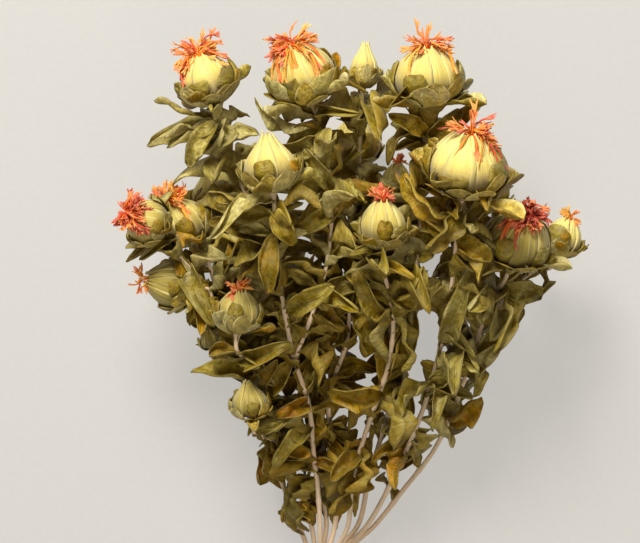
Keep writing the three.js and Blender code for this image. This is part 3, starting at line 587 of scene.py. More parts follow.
def place_by_hand(rows, first_number, tilts, may_be, kin_share, share=1.0, **facts):
    kept = 0
    for number, ((stem_number, limb_number), height, tip, width, bow) in enumerate(rows):
        plant = plants[stem_number - 1]
        limb = plant["limbs"][limb_number]
        on = (limb_number, limb.reaching(height))
        for tilt in tilts:
            leaf = large_leaf(limb, height, tip, width, bow, first_number + number, tilt)
            if keep_if_clear(plant, leaf, may_be, kin_share, share, on=on, **facts):
                kept += 1
                break
    print("leaves placed by hand", kept, "of", len(rows))


place_by_hand(LARGE_LEAVES, 0, LARGE_TILTS, above_table, KIN_SHARE, small=False)

# %% [markdown]
# The other leaves grow by rule, in a spiral up each limb as on the living plant, each turned by the golden
# angle from the last. Low on the plant they are smaller and hang more. One that finds no room is turned
# further, and after a few tries made smaller, or left out.

# %% Grow the other leaves
GOLDEN_ANGLE = 2.39996
LEAF_SPACING = 21
BRANCH_LEAF_SPACING = 16
LEAVES_START_Y = 38
LOW_Y = 130
LOW_REACH = 80
TRIES = 16
FULL_SIZE_TRIES = 6
SMALLER = 0.75
LEAF_RANGES = {
    "length": (0.85, 1.2), "width": (0.4, 0.56), "belly": (0.85, 1.2), "fold": (0.15, 0.55),
    "ripple": (0.1, 0.35), "waves": (0.8, 1.7), "phase": (0, 6), "twist": (-0.9, 0.9),
    "arch": (-0.05, 0.14), "droop": (-0.1, 0.45), "curl": (0, 1.3), "crumple": (0.28, 0.48),
}


def leaf_from(spot, turn, lean, roll, size):
    point, along, side, up = spot
    radial = side * math.cos(turn) + up * math.sin(turn)
    way = unit(along * math.cos(lean) + radial * math.sin(lean))
    level = unit(along - way * along.dot(way))
    tilt = between(roll, -0.7, 0.7)
    face = level * math.cos(tilt) + np.cross(way, level) * math.sin(tilt)
    leaf = {"base": point, "way": way, "face": face, **drawn(roll, LEAF_RANGES)}
    leaf["length"] *= size
    leaf["width"] *= size
    return leaf


def lowness(spot):
    return max(0, min(1, (LOW_Y - spot[0][1]) / LOW_REACH))


def grow_leaves(plant, number):
    for limb_number, limb in enumerate(plant["limbs"]):
        spacing = BRANCH_LEAF_SPACING if limb_number else LEAF_SPACING
        distance = 5 if limb_number else limb.reaching(LEAVES_START_Y + 4 * math.sin(number * 3))
        count = 0
        while distance < limb.length - 5:
            seed = number * 1000 + limb_number * 100 + count
            count += 1
            spot = limb.at(distance)
            low = lowness(spot)
            roll = dice(seed)
            lean = between(roll, 0.55, 1.2) + low * between(roll, 0.1, 1.1)
            size = between(roll, 21, 31) - 8 * low
            for attempt in range(TRIES):
                turn = (count + attempt) * GOLDEN_ANGLE + number
                scale = 1 if attempt < FULL_SIZE_TRIES else SMALLER
                leaf = leaf_from(spot, turn, lean + 0.12 * (attempt % 3), dice(seed + 7), size * scale)
                on = (limb_number, distance)
                if keep_if_clear(plant, leaf, inside_outline, KIN_SHARE, on=on, small=False):
                    break
            distance += spacing


for number, plant in enumerate(plants):
    grow_leaves(plant, number)
print("leaves of the solids", [len(plant["blades"]) for plant in plants])

# %% [markdown]
# The finer leaves have to lie on the solids' leaves. The tips are the farthest from the stems, so the
# distance from each tip to the nearest corner of its solid shows whether they do.

# %% Compare the leaves with the solids
def node_tree(node):
    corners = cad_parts[node].data.vertices
    tree = KDTree(len(corners))
    for i, corner in enumerate(corners):
        tree.insert(corner.co, i)
    tree.balance()
    return tree


for plant in plants:
    tree = node_tree(plant["name"])
    off = [tree.find(in_place(blade_tip(leaf)[0]))[2] / MM for leaf in plant["blades"]]
    print(plant["name"], "greatest distance of a tip, mm", round(max(off), 2))

# %% [markdown]
# The photograph shows stretches of bare stem, so the leaves that this scene adds may not lie in front of
# those. A stretch is the stem, which of its limbs, and the heights where it starts and ends.

# %% Stems that stay in view
SHOWN_LIMBS = [
    (3, 0, 20, 138), (3, 1, 106, 165), (4, 0, 20, 70), (5, 0, 76, 118), (6, 0, 20, 84), (6, 0, 98, 126),
    (8, 0, 20, 90), (9, 0, 20, 84),
]
SHOWN_HALF_WIDTH = 1.7


def hides_stem(spots):
    for plant_number, limb_number, from_y, to_y in SHOWN_LIMBS:
        line = plants[plant_number - 1]["limbs"][limb_number].point
        x, y, z = spots.T
        aside = np.abs(x - np.interp(y, line[:, 1], line[:, 0]))
        in_front = z > np.interp(y, line[:, 1], line[:, 2])
        passing = (y > from_y) & (y < to_y)
        if (passing & in_front & (aside < SHOWN_HALF_WIDTH)).any():
            return True
    return False


# %% [markdown]
# Some broad leaves among the stems show in the photograph but aren't in the solids, because solids must keep
# clear of each other by a thickness that thin dried leaves don't have. They are placed one by one from a list
# like the large ones, and may come nearer to their neighbours.

# %% Place the broad leaves among the stems
BROAD_LEAVES = [
    ((5, 0), 116, (-7, 112, 66), 14, 0.2), ((5, 0), 140, (4, 124, 66), 14, 0.15),
    ((3, 0), 106, (-26, 90, 62), 13, 0.12), ((4, 0), 106, (-18, 88, 40), 14, 0.1),
    ((8, 0), 94, (34, 80, 58), 12, 0.1), ((7, 0), 96, (40, 78, 40), 12, 0.1),
    ((6, 0), 130, (26, 104, 70), 12, 0.05), ((7, 0), 128, (36, 100, 50), 14, 0.05),
    ((6, 0), 126, (39, 100, 68), 11, 0.05), ((7, 0), 136, (28, 106, 56), 13, 0.05),
    ((5, 0), 128, (20, 106, 56), 11, 0.1), ((4, 0), 122, (-4, 106, 44), 13, 0.1),
    ((6, 0), 138, (42, 130, 84), 12, 0.15), ((6, 0), 90, (2, 90, 66), 15, 0.15),
    ((3, 0), 84, (-22, 80, 64), 10, 0.15), ((5, 0), 60, (6, 32, 40), 13, 0.1),
    ((6, 0), 62, (13, 43, 48), 14, 0.12), ((8, 0), 56, (22, 58, 42), 9, 0.15),
    ((6, 0), 88, (33, 64, 62), 14, 0.12), ((8, 0), 88, (38, 90, 62), 12, 0.1),
    ((3, 0), 80, (-3, 63, 56), 8, 0.05),
    ((4, 0), 74, (-16, 60, 34), 11, 0.1), ((2, 0), 66, (-28, 52, 46), 10, 0.1),
    ((1, 0), 62, (-30, 46, 30), 10, 0.1), ((5, 0), 100, (-4, 96, 60), 12, 0.15),
    ((7, 0), 110, (28, 96, 46), 12, 0.1), ((4, 0), 128, (-30, 124, 52), 12, 0.1),
    ((9, 0), 96, (80, 110, 60), 12, 0.12),
    ((5, 0), 150, (-4, 156, 74), 13, 0.12), ((7, 0), 150, (54, 162, 66), 12, 0.1),
    ((3, 0), 118, (-28, 112, 88), 11, 0.12), ((7, 0), 176, (60, 172, 70), 12, 0.1),
]
BROAD_TILTS = (0.1, -0.4, 0.5, -0.8, 0.9, -1.2, 1.3)
BROAD_SHARE = 0.35
BROAD_CRUMPLE = 0.456


def among_the_stems(spots):
    return above_table(spots) and not hides_stem(spots[1:])


place_by_hand(BROAD_LEAVES, 60, BROAD_TILTS, among_the_stems, 1, BROAD_SHARE,
              small=True, crumple=BROAD_CRUMPLE)

# %% [markdown]
# Now the tangle that only this scene has: small crumpled leaves, from the same rule with other random
# numbers, closer together on the stems. They may come nearer to their neighbours, as dried leaves do.

# %% Place the small crumpled leaves
TANGLE_SPACING = [4, 4, 4, 4, 4, 4, 4, 6, 7]
TANGLE_START_Y = [22, 22, 22, 22, 22, 22, 22, 30, 64]
TANGLE_SHARE = 0.4
TANGLE_TRIES = 14
TANGLE_FULL_SIZE_TRIES = 4


def in_the_tangle(spots):
    return inside_outline(spots) and not hides_stem(spots)


def grow_tangle(plant, number):
    for limb_number, limb in enumerate(plant["limbs"]):
        distance = 4 if limb_number else limb.reaching(TANGLE_START_Y[number] + 3 * math.cos(number * 4))
        count = 0
        while distance < limb.length - 3:
            seed = 20000 + number * 1000 + limb_number * 100 + count
            count += 1
            spot = limb.at(distance)
            low = lowness(spot)
            roll = dice(seed)
            lean = between(roll, 0.5, 1.5)
            if low > 0.4:
                lean = between(roll, 0.3, 0.8) if roll() < 0.5 else between(roll, 2.25, 2.75)
            size = between(roll, 16, 28) - 4 * low
            for attempt in range(TANGLE_TRIES):
                turn = (count + attempt) * GOLDEN_ANGLE + number + 1
                scale = 1 if attempt < TANGLE_FULL_SIZE_TRIES else SMALLER
                leaf = leaf_from(spot, turn, lean, dice(seed + 7), size * scale)
                leaf["ripple"] *= 1.8
                leaf["twist"] *= 1.7
                leaf["curl"] += 0.6
                leaf["crumple"] *= 1.35 + 0.3 * low
                leaf["width"] *= 1 + 0.35 * low
                on = (limb_number, distance)
                if keep_if_clear(plant, leaf, in_the_tangle, 1, TANGLE_SHARE, on=on, small=True):
                    break
            distance += TANGLE_SPACING[number]


for number, plant in enumerate(plants):
    grow_tangle(plant, number)
print("leaves with the tangle", [len(plant["blades"]) for plant in plants])

# %% [markdown]
# Small oval leaves also stand round each head, between the bracts. They are bracts from the same rule with
# a ring of their own, narrower, and only those that find room and don't stand in front of the globe are
# kept.

# %% Place the collar leaves
COLLAR = {"height": -0.84, "depth": 0.3, "leans": (0.35, 0.95), "lengths": (0.95, 1.5), "width": 0.42}
COLLAR_COUNT = 9
SMALL_COLLAR_COUNT = 4
COLLAR_SHARE = 0.5
FRONT_SHARE = 0.55
SMALL_HEAD_RADIUS = 5

collar_of = {}
for number, (name, head) in enumerate(HEADS.items()):
    collar_of[name] = []
    roll = dice(8000 + number)
    for i in range(COLLAR_COUNT if head["radius"] > SMALL_HEAD_RADIUS else SMALL_COLLAR_COUNT):
        start = GOLDEN_ANGLE * i + between(roll, 0, 1)
        for nudge in (0, 0.35, -0.35, 0.7, -0.7):
            made = bract(head, start + nudge, COLLAR, dice(8100 + number * 20 + i))
            made.update(twist=made["twist"] * 1.5, fold=0.5, crumple=0.3, curl=0.5)
            spots = blade_spots(made)
            if spots[0][2] > head["centre"][2] + FRONT_SHARE * head["radius"]:
                continue
            if above_table(spots) and is_clear(name, spots, 0.5, COLLAR_SHARE):
                collar_of[name].append(made)
                fill(name, spots, LEAF_REACH)
                break
print("collar leaves", {name: len(made) for name, made in collar_of.items()})

# %% [markdown]
# A finish is a small tree of shader nodes. The patterns follow the surface: every piece carries two
# attributes on its corners. "grain" holds distances over the surface in millimetres, for fibres and
# mottling. "looks" holds where a corner is on its leaf, bract or floret, and how aged that one is.
# This helper keeps each recipe below short enough to read.

# %% A helper for finishes
class Finish:
    def __init__(self, name, roughness, sheen=0.0, thin=0.0, shine=0.25):
        self.material = bpy.data.materials.new(name)
        self.material.use_nodes = True
        self.tree = self.material.node_tree
        self.shader = self.tree.nodes["Principled BSDF"]
        self.shader.inputs["Roughness"].default_value = roughness
        self.shader.inputs["Sheen Weight"].default_value = sheen
        self.shader.inputs["Specular IOR Level"].default_value = shine
        self.shader.inputs["Subsurface Weight"].default_value = thin
        self.shader.inputs["Subsurface Radius"].default_value = (0.004, 0.003, 0.001)
        self.shader.inputs["Subsurface Scale"].default_value = 0.5

    def node(self, kind, inputs=(), **settings):
        node = self.tree.nodes.new(kind)
        for setting, value in settings.items():
            setattr(node, setting, value)
        for socket, value in enumerate(inputs):
            self.feed(value, node.inputs[socket])
        return node

    def feed(self, value, socket):
        if isinstance(value, bpy.types.NodeSocket):
            self.tree.links.new(value, socket)
        elif value is not None:
            socket.default_value = value

    def attribute(self, name):
        return self.node("ShaderNodeAttribute", attribute_name=name).outputs["Vector"]

    def parts(self, vector):
        return self.node("ShaderNodeSeparateXYZ", (vector,)).outputs

    def math(self, operation, *values):
        return self.node("ShaderNodeMath", values, operation=operation).outputs[0]

    def stretch(self, vector, scale):
        return self.node("ShaderNodeVectorMath", (vector, scale), operation="MULTIPLY").outputs[0]

    def noise(self, vector, scale, detail=3.0, roughness=0.55):
        node = self.node("ShaderNodeTexNoise", (vector,))
        node.inputs["Scale"].default_value = scale
        node.inputs["Detail"].default_value = detail
        node.inputs["Roughness"].default_value = roughness
        return node.outputs[0]

    def ramp(self, value, stops):
        node = self.node("ShaderNodeValToRGB", (value,))
        while len(node.color_ramp.elements) < len(stops):
            node.color_ramp.elements.new(1)
        for element, (position, colour) in zip(node.color_ramp.elements, stops):
            element.position = position
            element.color = (*colour, 1) if len(colour) == 3 else colour
        return node.outputs[0]

    def between(self, value, low, high, to_low=0.0, to_high=1.0):
        return self.node("ShaderNodeMapRange", (value, low, high, to_low, to_high)).outputs[0]

    def mix(self, factor, first, second, blend="MIX"):
        node = self.node("ShaderNodeMix", data_type="RGBA", blend_type=blend)
        self.feed(factor, node.inputs["Factor"])
        for value, name in ((first, "A"), (second, "B")):
            socket = next(s for s in node.inputs if s.name == name and s.type == "RGBA")
            self.feed((*value, 1) if isinstance(value, tuple) and len(value) == 3 else value, socket)
        return next(s for s in node.outputs if s.type == "RGBA")

    def colour(self, value):
        self.feed(value, self.shader.inputs["Base Color"])

    def roughness(self, value):
        self.feed(value, self.shader.inputs["Roughness"])

    def relief(self, height, distance):
        node = self.node("ShaderNodeBump")
        node.inputs["Distance"].default_value = distance * MM
        self.feed(height, node.inputs["Height"])
        self.feed(node.outputs[0], self.shader.inputs["Normal"])

    def speckled(self, speckles, stops, relief=0.0):
        self.colour(self.ramp(speckles, stops))
        if relief:
            self.relief(speckles, relief)
        return self.material


# %% [markdown]
# A dried leaf is olive to golden brown, mottled and stained, with a faint pale midrib and side veins.
# The colour comes in layers: the age of the leaf sets the ground, noise mottles it, every leaf is a little
# lighter or darker than the next, brown blotches and the veins go over that, then pale grey-green patches,
# which young leaves have more of and which are partly the leaf's own bloom and partly painted highlight, and
# the margin last. The same recipe makes the face and the paler back.

# %% Finish of the leaves
def leaf_finish(name, ground, margin, roughness, edge_at=0.8, veins=0.16, rim=0.08):
    finish = Finish(name, roughness, thin=0.2, shine=0.24)
    grain, looks = finish.attribute("grain"), finish.attribute("looks")
    _, across, age = finish.parts(looks)
    run, width, own = finish.parts(grain)
    from_midrib = finish.math("ABSOLUTE", across)
    mottle = finish.noise(grain, 0.13, 4.0, 0.65)
    patchy_age = finish.math("MULTIPLY_ADD", finish.math("SUBTRACT", mottle, 0.5), 1.1, age)
    colour = finish.ramp(patchy_age, ground)
    tone = finish.between(finish.math("SINE", finish.math("MULTIPLY", own, 1.37)), -1.0, 1.0, 0.74, 1.2)
    colour = finish.mix(1.0, colour, tone, "MULTIPLY")
    blotch = finish.noise(grain, 0.5, 3.0, 0.6)
    colour = finish.mix(finish.between(blotch, 0.42, 0.6), finish.mix(0.45, colour, (0.06, 0.028, 0)), colour)
    side_run = finish.math("MULTIPLY_ADD", finish.math("ABSOLUTE", width), -0.75, run)
    side_vein = finish.math("ABSOLUTE", finish.math("SINE", finish.math("MULTIPLY", side_run, 0.9)))
    side_vein = finish.math("POWER", side_vein, 20.0)
    midrib = finish.between(from_midrib, 0.0, 0.07, 1.0, 0.0)
    vein = finish.math("MAXIMUM", midrib, finish.math("MULTIPLY", side_vein, 0.35))
    colour = finish.mix(finish.math("MULTIPLY", vein, veins), colour, margin)
    # Pale grey-green patches: partly the leaf's own bloom, partly painted highlight.
    bloom_and_painted_highlight = finish.between(finish.noise(grain, 0.24, 4.0, 0.6), 0.46, 0.7, 0.0, 0.48)
    bloom_and_painted_highlight = finish.math("MULTIPLY", bloom_and_painted_highlight, finish.between(age, 0.2, 0.65, 1.0, 0.3))
    colour = finish.mix(bloom_and_painted_highlight, colour, (0.46, 0.40, 0.18))
    wander = finish.math("MULTIPLY_ADD", finish.noise(grain, 0.45), 0.35, from_midrib)
    edge = finish.between(wander, edge_at + 0.2, edge_at + 0.4, 0.0, rim)
    colour = finish.mix(edge, colour, margin)
    finish.colour(colour)
    finish.roughness(finish.between(blotch, 0.3, 0.7, roughness - 0.12, roughness + 0.15))
    fine = finish.noise(grain, 1.3, 3.0)
    ribs = finish.math("MULTIPLY", vein, 3 * veins)
    height = finish.math("MULTIPLY_ADD", fine, 0.5, finish.math("MULTIPLY_ADD", mottle, 1.6, ribs))
    height = finish.math("MULTIPLY_ADD", blotch, 1.1, height)
    finish.relief(height, 0.6)
    return finish.material


LEAF_GROUND = [
    (0.0, (0.60, 0.53, 0.20)), (0.25, (0.34, 0.275, 0.045)), (0.45, (0.265, 0.195, 0.012)),
    (0.7, (0.295, 0.183, 0.004)), (0.85, (0.39, 0.21, 0.003)), (1.0, (0.41, 0.165, 0.003)),
]
BACK_GROUND = [
    (0.0, (0.62, 0.54, 0.22)), (0.4, (0.33, 0.255, 0.04)), (0.75, (0.345, 0.22, 0.015)),
    (1.0, (0.46, 0.245, 0.013)),
]
MARGIN = (0.50, 0.39, 0.11)
leaf_face = leaf_finish("leaf_face", LEAF_GROUND, MARGIN, 0.42)
leaf_back = leaf_finish("leaf_back", BACK_GROUND, MARGIN, 0.52)

# %% [markdown]
# The cut edge of a leaf is a line that makes each leaf stand out from the next, straw coloured and a little
# darker than most leaves. It is as wide as the leaf is thick, so one colour with a little noise is enough.

# %% Finish of the leaf edges
edge = Finish("leaf_edge", 0.6)
leaf_edge = edge.speckled(edge.noise(edge.attribute("grain"), 0.4), [
    (0.4, (0.15, 0.11, 0.018)), (0.68, (0.31, 0.24, 0.06)),
], relief=0.1)

# %% [markdown]
# Bracts are the same tissue as leaves, but paler, and with a pale margin. A bract's back is what shows,
# because bracts cup the globe.

# %% Finish of the bracts
BRACT_GROUND = [
    (0.0, (0.68, 0.60, 0.31)), (0.35, (0.58, 0.48, 0.16)), (0.7, (0.58, 0.425, 0.07)),
    (1.0, (0.64, 0.46, 0.065)),
]
BACK_MARGIN = (0.78, 0.68, 0.32)
FACE_MARGIN = (0.66, 0.55, 0.19)
bract_back = leaf_finish("bract_back", BRACT_GROUND, BACK_MARGIN, 0.5, edge_at=0.74, veins=0.07, rim=0.5)
bract_face = leaf_finish("bract_face", LEAF_GROUND, FACE_MARGIN, 0.45, veins=0.08, rim=0.3)

# %% [markdown]
# The globe is bright papery cream, with fine nerves that run from its base to its mouth. Noise that is
# squeezed round the globe and stretched along it gives nerves without a seam, because the grain goes round
# by sine and cosine. Towards the base the globe darkens to a dark tan, partly its own colour and partly
# painted shade for the underside that faces away from the key light. Green heads are darker and greener all
# over, and the edges of the scales are paler ridges.

# %% Finish of the globes
def globe_finish(name, bright):
    finish = Finish(name, 0.5, sheen=0.2, thin=0.15)
    grain, looks = finish.attribute("grain"), finish.attribute("looks")
    height, green, across = finish.parts(looks)
    nerves = finish.noise(finish.stretch(grain, (1, 1, 0.05)), 0.9, 4.0, 0.7)
    stain = finish.noise(grain, 0.12, 3.0)
    level = finish.math("MULTIPLY_ADD", stain, 0.35, height)
    # Both ramps darken towards the base: partly the globe's own tan, partly painted shade for the underside.
    ripe_shaded_to_base = finish.ramp(level, [
        (0.5, (0.25, 0.19, 0.085)), (0.65, (0.53, 0.405, 0.125)), (0.8, (0.84, 0.665, 0.165)),
        (1.0, (0.91, 0.77, 0.24)),
    ])
    unripe_shaded_to_base = finish.ramp(level, [
        (0.25, (0.15, 0.12, 0.022)), (0.6, (0.31, 0.245, 0.045)), (1.0, (0.50, 0.38, 0.07)),
    ])
    colour = finish.mix(green, ripe_shaded_to_base, unripe_shaded_to_base)
    nerve = finish.between(nerves, 0.5, 0.68)
    nerve = finish.math("MULTIPLY", nerve, finish.between(green, 0.3, 1.0, 0.36, 0.75))
    colour = finish.mix(nerve, colour, finish.mix(green, (0.55, 0.37, 0.08), (0.13, 0.095, 0.018)))
    light = finish.between(nerves, 0.3, 0.44, 0.35, 0.0)
    colour = finish.mix(light, colour, bright)
    ridge = finish.between(finish.math("ABSOLUTE", across), 0.55, 0.95, 0.0, 0.55)
    ridge = finish.math("MULTIPLY", ridge, finish.between(level, 0.5, 0.8, 0.3, 1.0))
    colour = finish.mix(ridge, colour, (0.80, 0.68, 0.27))
    finish.colour(colour)
    finish.roughness(finish.between(nerves, 0.35, 0.65, 0.4, 0.6))
    finish.relief(finish.math("MULTIPLY_ADD", stain, 0.6, nerves), 0.5)
    return finish.material


globe_skin = globe_finish("globe_skin", (0.95, 0.86, 0.38))
husk = Finish("husk_edge", 0.5)
husk_rim = husk.speckled(husk.noise(husk.attribute("grain"), 0.5), [
    (0.35, (0.62, 0.50, 0.2)), (0.65, (0.93, 0.86, 0.5)),
])

# %% [markdown]
# Florets dry from orange to dark red, and their tips stay paler and pinker. One ramp over how red a floret
# is gives its body, a second its tips, and where a corner lies between root and tip blends the two.

# %% Finish of the florets
floret = Finish("floret_petal", 0.6, thin=0.1)
grain, looks = floret.attribute("grain"), floret.attribute("looks")
tip, red, _ = floret.parts(looks)
body = floret.ramp(red, [
    (0.0, (0.90, 0.42, 0.04)), (0.35, (0.88, 0.23, 0.02)), (0.65, (0.74, 0.085, 0.02)),
    (1.0, (0.26, 0.018, 0.012)),
])
ends = floret.ramp(red, [
    (0.0, (0.93, 0.58, 0.16)), (0.4, (0.93, 0.36, 0.12)), (0.75, (0.85, 0.22, 0.15)),
    (1.0, (0.42, 0.05, 0.04)),
])
fibre = floret.noise(floret.stretch(grain, (1, 1, 0.12)), 2.2, 3.0)
colour = floret.mix(floret.between(tip, 0.45, 1.0), body, ends)
colour = floret.mix(floret.between(fibre, 0.52, 0.72, 0.0, 0.4), colour, (0.95, 0.50, 0.22))
floret.colour(colour)
floret.relief(fibre, 0.2)
floret_petal = floret.material

# %% [markdown]
# A stem is straw coloured where it is old and bare, with a pinkish tinge, and greener towards the heads.
# Its fine ridges run along it. The change of colour follows the height of the plant, so it reads Object
# coordinates, and the fibres follow the grain.

# %% Finish of the stems
BARE_STEM_Y = 30
GREEN_STEM_Y = 215

stem = Finish("stem_bark", 0.55, sheen=0.1)
grain = stem.attribute("grain")
_, plant_y, _ = stem.parts(stem.node("ShaderNodeTexCoord").outputs["Object"])
height = stem.between(plant_y, *(in_place((0, y, 0))[1] for y in (BARE_STEM_Y, GREEN_STEM_Y)))
fibres = stem.noise(stem.stretch(grain, (1, 1, 0.04)), 1.3, 4.0, 0.7)
tinge = stem.noise(stem.stretch(grain, (0.3, 0.3, 1)), 0.06, 3.0)
level = stem.math("MULTIPLY_ADD", stem.math("SUBTRACT", tinge, 0.5), 0.9, height)
colour = stem.ramp(level, [
    (0.0, (0.94, 0.73, 0.50)), (0.4, (0.92, 0.70, 0.47)), (0.7, (0.80, 0.61, 0.38)),
    (1.0, (0.50, 0.39, 0.17)),
])
colour = stem.mix(stem.between(fibres, 0.5, 0.74, 0.0, 0.42), colour, (0.34, 0.21, 0.10))
colour = stem.mix(stem.between(fibres, 0.42, 0.3, 0.0, 0.6), colour, (0.86, 0.76, 0.58))
stem.colour(colour)
stem.relief(fibres, 0.35)
stem_bark = stem.material

# %% [markdown]
# Where a stem was cut, its pale, speckled pith shows.

# %% Finish of the cut ends
pith = Finish("stem_pith", 0.8)
crumbs = pith.noise(pith.node("ShaderNodeTexCoord").outputs["Object"], 2500.0, 4.0)
stem_pith = pith.speckled(crumbs, [(0.35, (0.45, 0.36, 0.22)), (0.65, (0.78, 0.70, 0.52))], relief=0.3)

# %% [markdown]
# Jute twine is brown fibre twisted into strands. The fibres follow each strand's own length, which the
# grain holds, and lighter ones stand out from darker ones.

# %% Finish of the twine
jute = Finish("jute_fibre", 0.85, sheen=0.4)
fibres = jute.noise(jute.stretch(jute.attribute("grain"), (1, 1, 0.14)), 3.2, 4.0, 0.7)
jute_fibre = jute.speckled(fibres, [
    (0.3, (0.20, 0.12, 0.05)), (0.5, (0.43, 0.29, 0.14)), (0.7, (0.66, 0.50, 0.29)),
], relief=0.4)
print("finishes", len(bpy.data.materials))

# %% [markdown]
# Two shapes make nearly everything here: a sheet, for a leaf or a bract, and a tube, for a stem or a
# floret. Both start as Blender's own grid, whose corners are then moved to where a rule puts them. A tube
# is a grid rolled up, and merging the corners that meet closes its seam and its pointed ends. The table
# presses flat whatever would reach below it, such as the undersides of the heads that the bunch lies on.

# %% Sheets and tubes
PRESS_SOFTNESS = 0.3
MERGE_WITHIN = 0.002


def add_to_scene(name, data):
    made = bpy.data.objects.new(name, data)
    bpy.context.scene.collection.objects.link(made)
    return made


def pressed(points):
    points = np.array(points, float)
    height = points[:, 2]
    points[:, 2] = (height + np.sqrt(height ** 2 + PRESS_SOFTNESS ** 2)) / 2
    return points


class Piece:
    def __init__(self):
        self.mesh = bmesh.new()
        self.grain = self.mesh.verts.layers.float_vector.new("grain")
        self.looks = self.mesh.verts.layers.float_vector.new("looks")

    def sheet(self, rows, strips, shape, finish=0):
        corners = bmesh.ops.create_grid(self.mesh, x_segments=rows, y_segments=strips, size=0.5)["verts"]
        spots = np.array([corner.co[:2] for corner in corners]) + 0.5
        self.settle(corners, *shape(spots[:, 0], spots[:, 1]), finish)

    def settle(self, corners, points, grain, looks, finish):
        points = in_place(pressed(points))
        for corner, point, pattern, look in zip(corners, points, columns(*grain), columns(*looks)):
            corner.co = point
            corner[self.grain] = Vector(pattern)
            corner[self.looks] = Vector(look)
        for face in {face for corner in corners for face in corner.link_faces}:
            face.material_index = finish
            face.smooth = True

    def tube(self, points, wide, deep, sides, looks, first_side=(1, 0, 0), finish=0):
        points = np.asarray(points, float)
        last = len(points) - 1
        along = np.gradient(points, axis=0)
        along /= np.linalg.norm(along, axis=1)[:, None]
        side, sides_of, ups = vec(first_side), [], []
        for way in along:
            side = unit(side - way * side.dot(way))
            sides_of.append(side)
            ups.append(np.cross(side, way))
        sides_of, ups = np.array(sides_of), np.array(ups)
        run = np.concatenate([[0], np.cumsum(np.linalg.norm(np.diff(points, axis=0), axis=1))])
        wide, deep = np.broadcast_to(wide, last + 1), np.broadcast_to(deep, last + 1)

        def shape(u, v):
            ring = np.rint(u * last).astype(int)
            angle = 2 * math.pi * v
            sideways = (wide[ring] * np.cos(angle))[:, None]
            upwards = (deep[ring] * np.sin(angle))[:, None]
            place = points[ring] + sides_of[ring] * sideways + ups[ring] * upwards
            return place, (wide.max() * np.cos(angle), wide.max() * np.sin(angle), run[ring]), looks(u)

        self.sheet(last, sides, shape, finish)

    def merge(self):
        bmesh.ops.remove_doubles(self.mesh, verts=self.mesh.verts[:], dist=MERGE_WITHIN * MM)

    def make(self, name, finishes, nodes, thickness=None):
        self.merge()
        mesh = bpy.data.meshes.new(name)
        self.mesh.to_mesh(mesh)
        self.mesh.free()
        for finish in finishes:
            mesh.materials.append(finish)
        made = add_to_scene(name, mesh)
        if thickness:
            solid = made.modifiers.new("thickness", "SOLIDIFY")
            solid.thickness = thickness * MM
            solid.offset = 0
            solid.material_offset = 1
            solid.material_offset_rim = 2
        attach(made, "root")
        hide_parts(*nodes)
        return made


# %% [markdown]
# A stem tapers towards its head and flares just under it, and swells a little where a leaf grows. All of that
# is in the radius of each ring of the tube; its low ridges are only in the finish. The cut end gets a cap
# with a sunk pith.

# %% Model the stems
STEM_RING_SPACING = 1.6
STEM_SIDES = 12
STEM_FIT = 0.81
STEM_RADIUS_HIGH = 1.15
BRANCH_RADIUS_LOW = 1.1
BRANCH_RADIUS_HIGH = 0.9
FLARE_LENGTH = 7
FLARE_SHARE = 0.33
INTO_HEAD_SHARE = 0.02
LEAF_SWELL = 0.3
LEAF_SWELL_LENGTH = 1.6
PITH_RIM = 0.35
PITH_DEPTH = 0.5
CUT_END_Y = 20 - TAIL_LENGTH


def stem_tube(piece, limb, number, head, leaves_at):
    steps = math.ceil(limb.length / STEM_RING_SPACING)
    distances = np.linspace(0, limb.length, steps + 1)
    points = np.array([limb.at(distance)[0] for distance in distances])
    up = head_frame(head)[0]
    points = np.concatenate([points, [points[-1] + up * (SEAT_GAP + INTO_HEAD_SHARE * head["radius"])]])
    distances = np.append(distances, limb.length + 0.5)
    low, high = (BRANCH_RADIUS_LOW, BRANCH_RADIUS_HIGH) if number else (STEM_RADIUS_LOW, STEM_RADIUS_HIGH)
    radius = STEM_FIT * (low + (high - low) * distances / limb.length)
    flare = np.clip((distances - limb.length + FLARE_LENGTH) / FLARE_LENGTH, 0, 1)
    radius = radius + (FLARE_SHARE * head["radius"] - high) * flare ** 3
    for leaf_at in leaves_at:
        radius = radius + LEAF_SWELL * np.exp(-((distances - leaf_at) / LEAF_SWELL_LENGTH) ** 2)
    piece.tube(points, radius, radius, STEM_SIDES, lambda u: (u, u, u))


def cap_ends(piece, cut_below=-math.inf):
    piece.merge()
    rims = [edge for edge in piece.mesh.edges if edge.is_boundary]
    caps = bmesh.ops.holes_fill(piece.mesh, edges=rims, sides=0)["faces"]
    cut = [face for face in caps if face.calc_center_median().y < cut_below]
    bmesh.ops.inset_individual(piece.mesh, faces=cut, thickness=PITH_RIM * MM, depth=-PITH_DEPTH * MM)
    for face in cut:
        face.material_index = 1
    return len(caps)


for plant in plants:
    piece = Piece()
    large = [leaf["on"] for leaf in plant["blades"] if not leaf["small"]]
    for number, (limb, head) in enumerate(zip(plant["limbs"], plant["heads"])):
        stem_tube(piece, limb, number, head, [distance for on, distance in large if on == number])
    caps = cap_ends(piece, in_place((0, CUT_END_Y, 0))[1])
    made = piece.make(plant["name"].replace("leafy_stem", "stems"), [stem_bark, stem_pith],
                      [plant["name"]])
    print(made.name, len(plant["limbs"]), "limbs", caps, "caps")

# %% [markdown]
# Each leaf is a sheet whose corners the blade formula places, so it lies on the leaf of the solids. The rows
# are closer together near the tip, which rounds it. A Solidify modifier then gives it its thickness, with a
# finish for the face, one for the back and one for the cut edge. Leaves near some heads dried greyer, and
# near others more golden, so a leaf's age also depends on its place: each row of AGE_NEAR is a place in the
# picture, how far its pull reaches, and the age there.

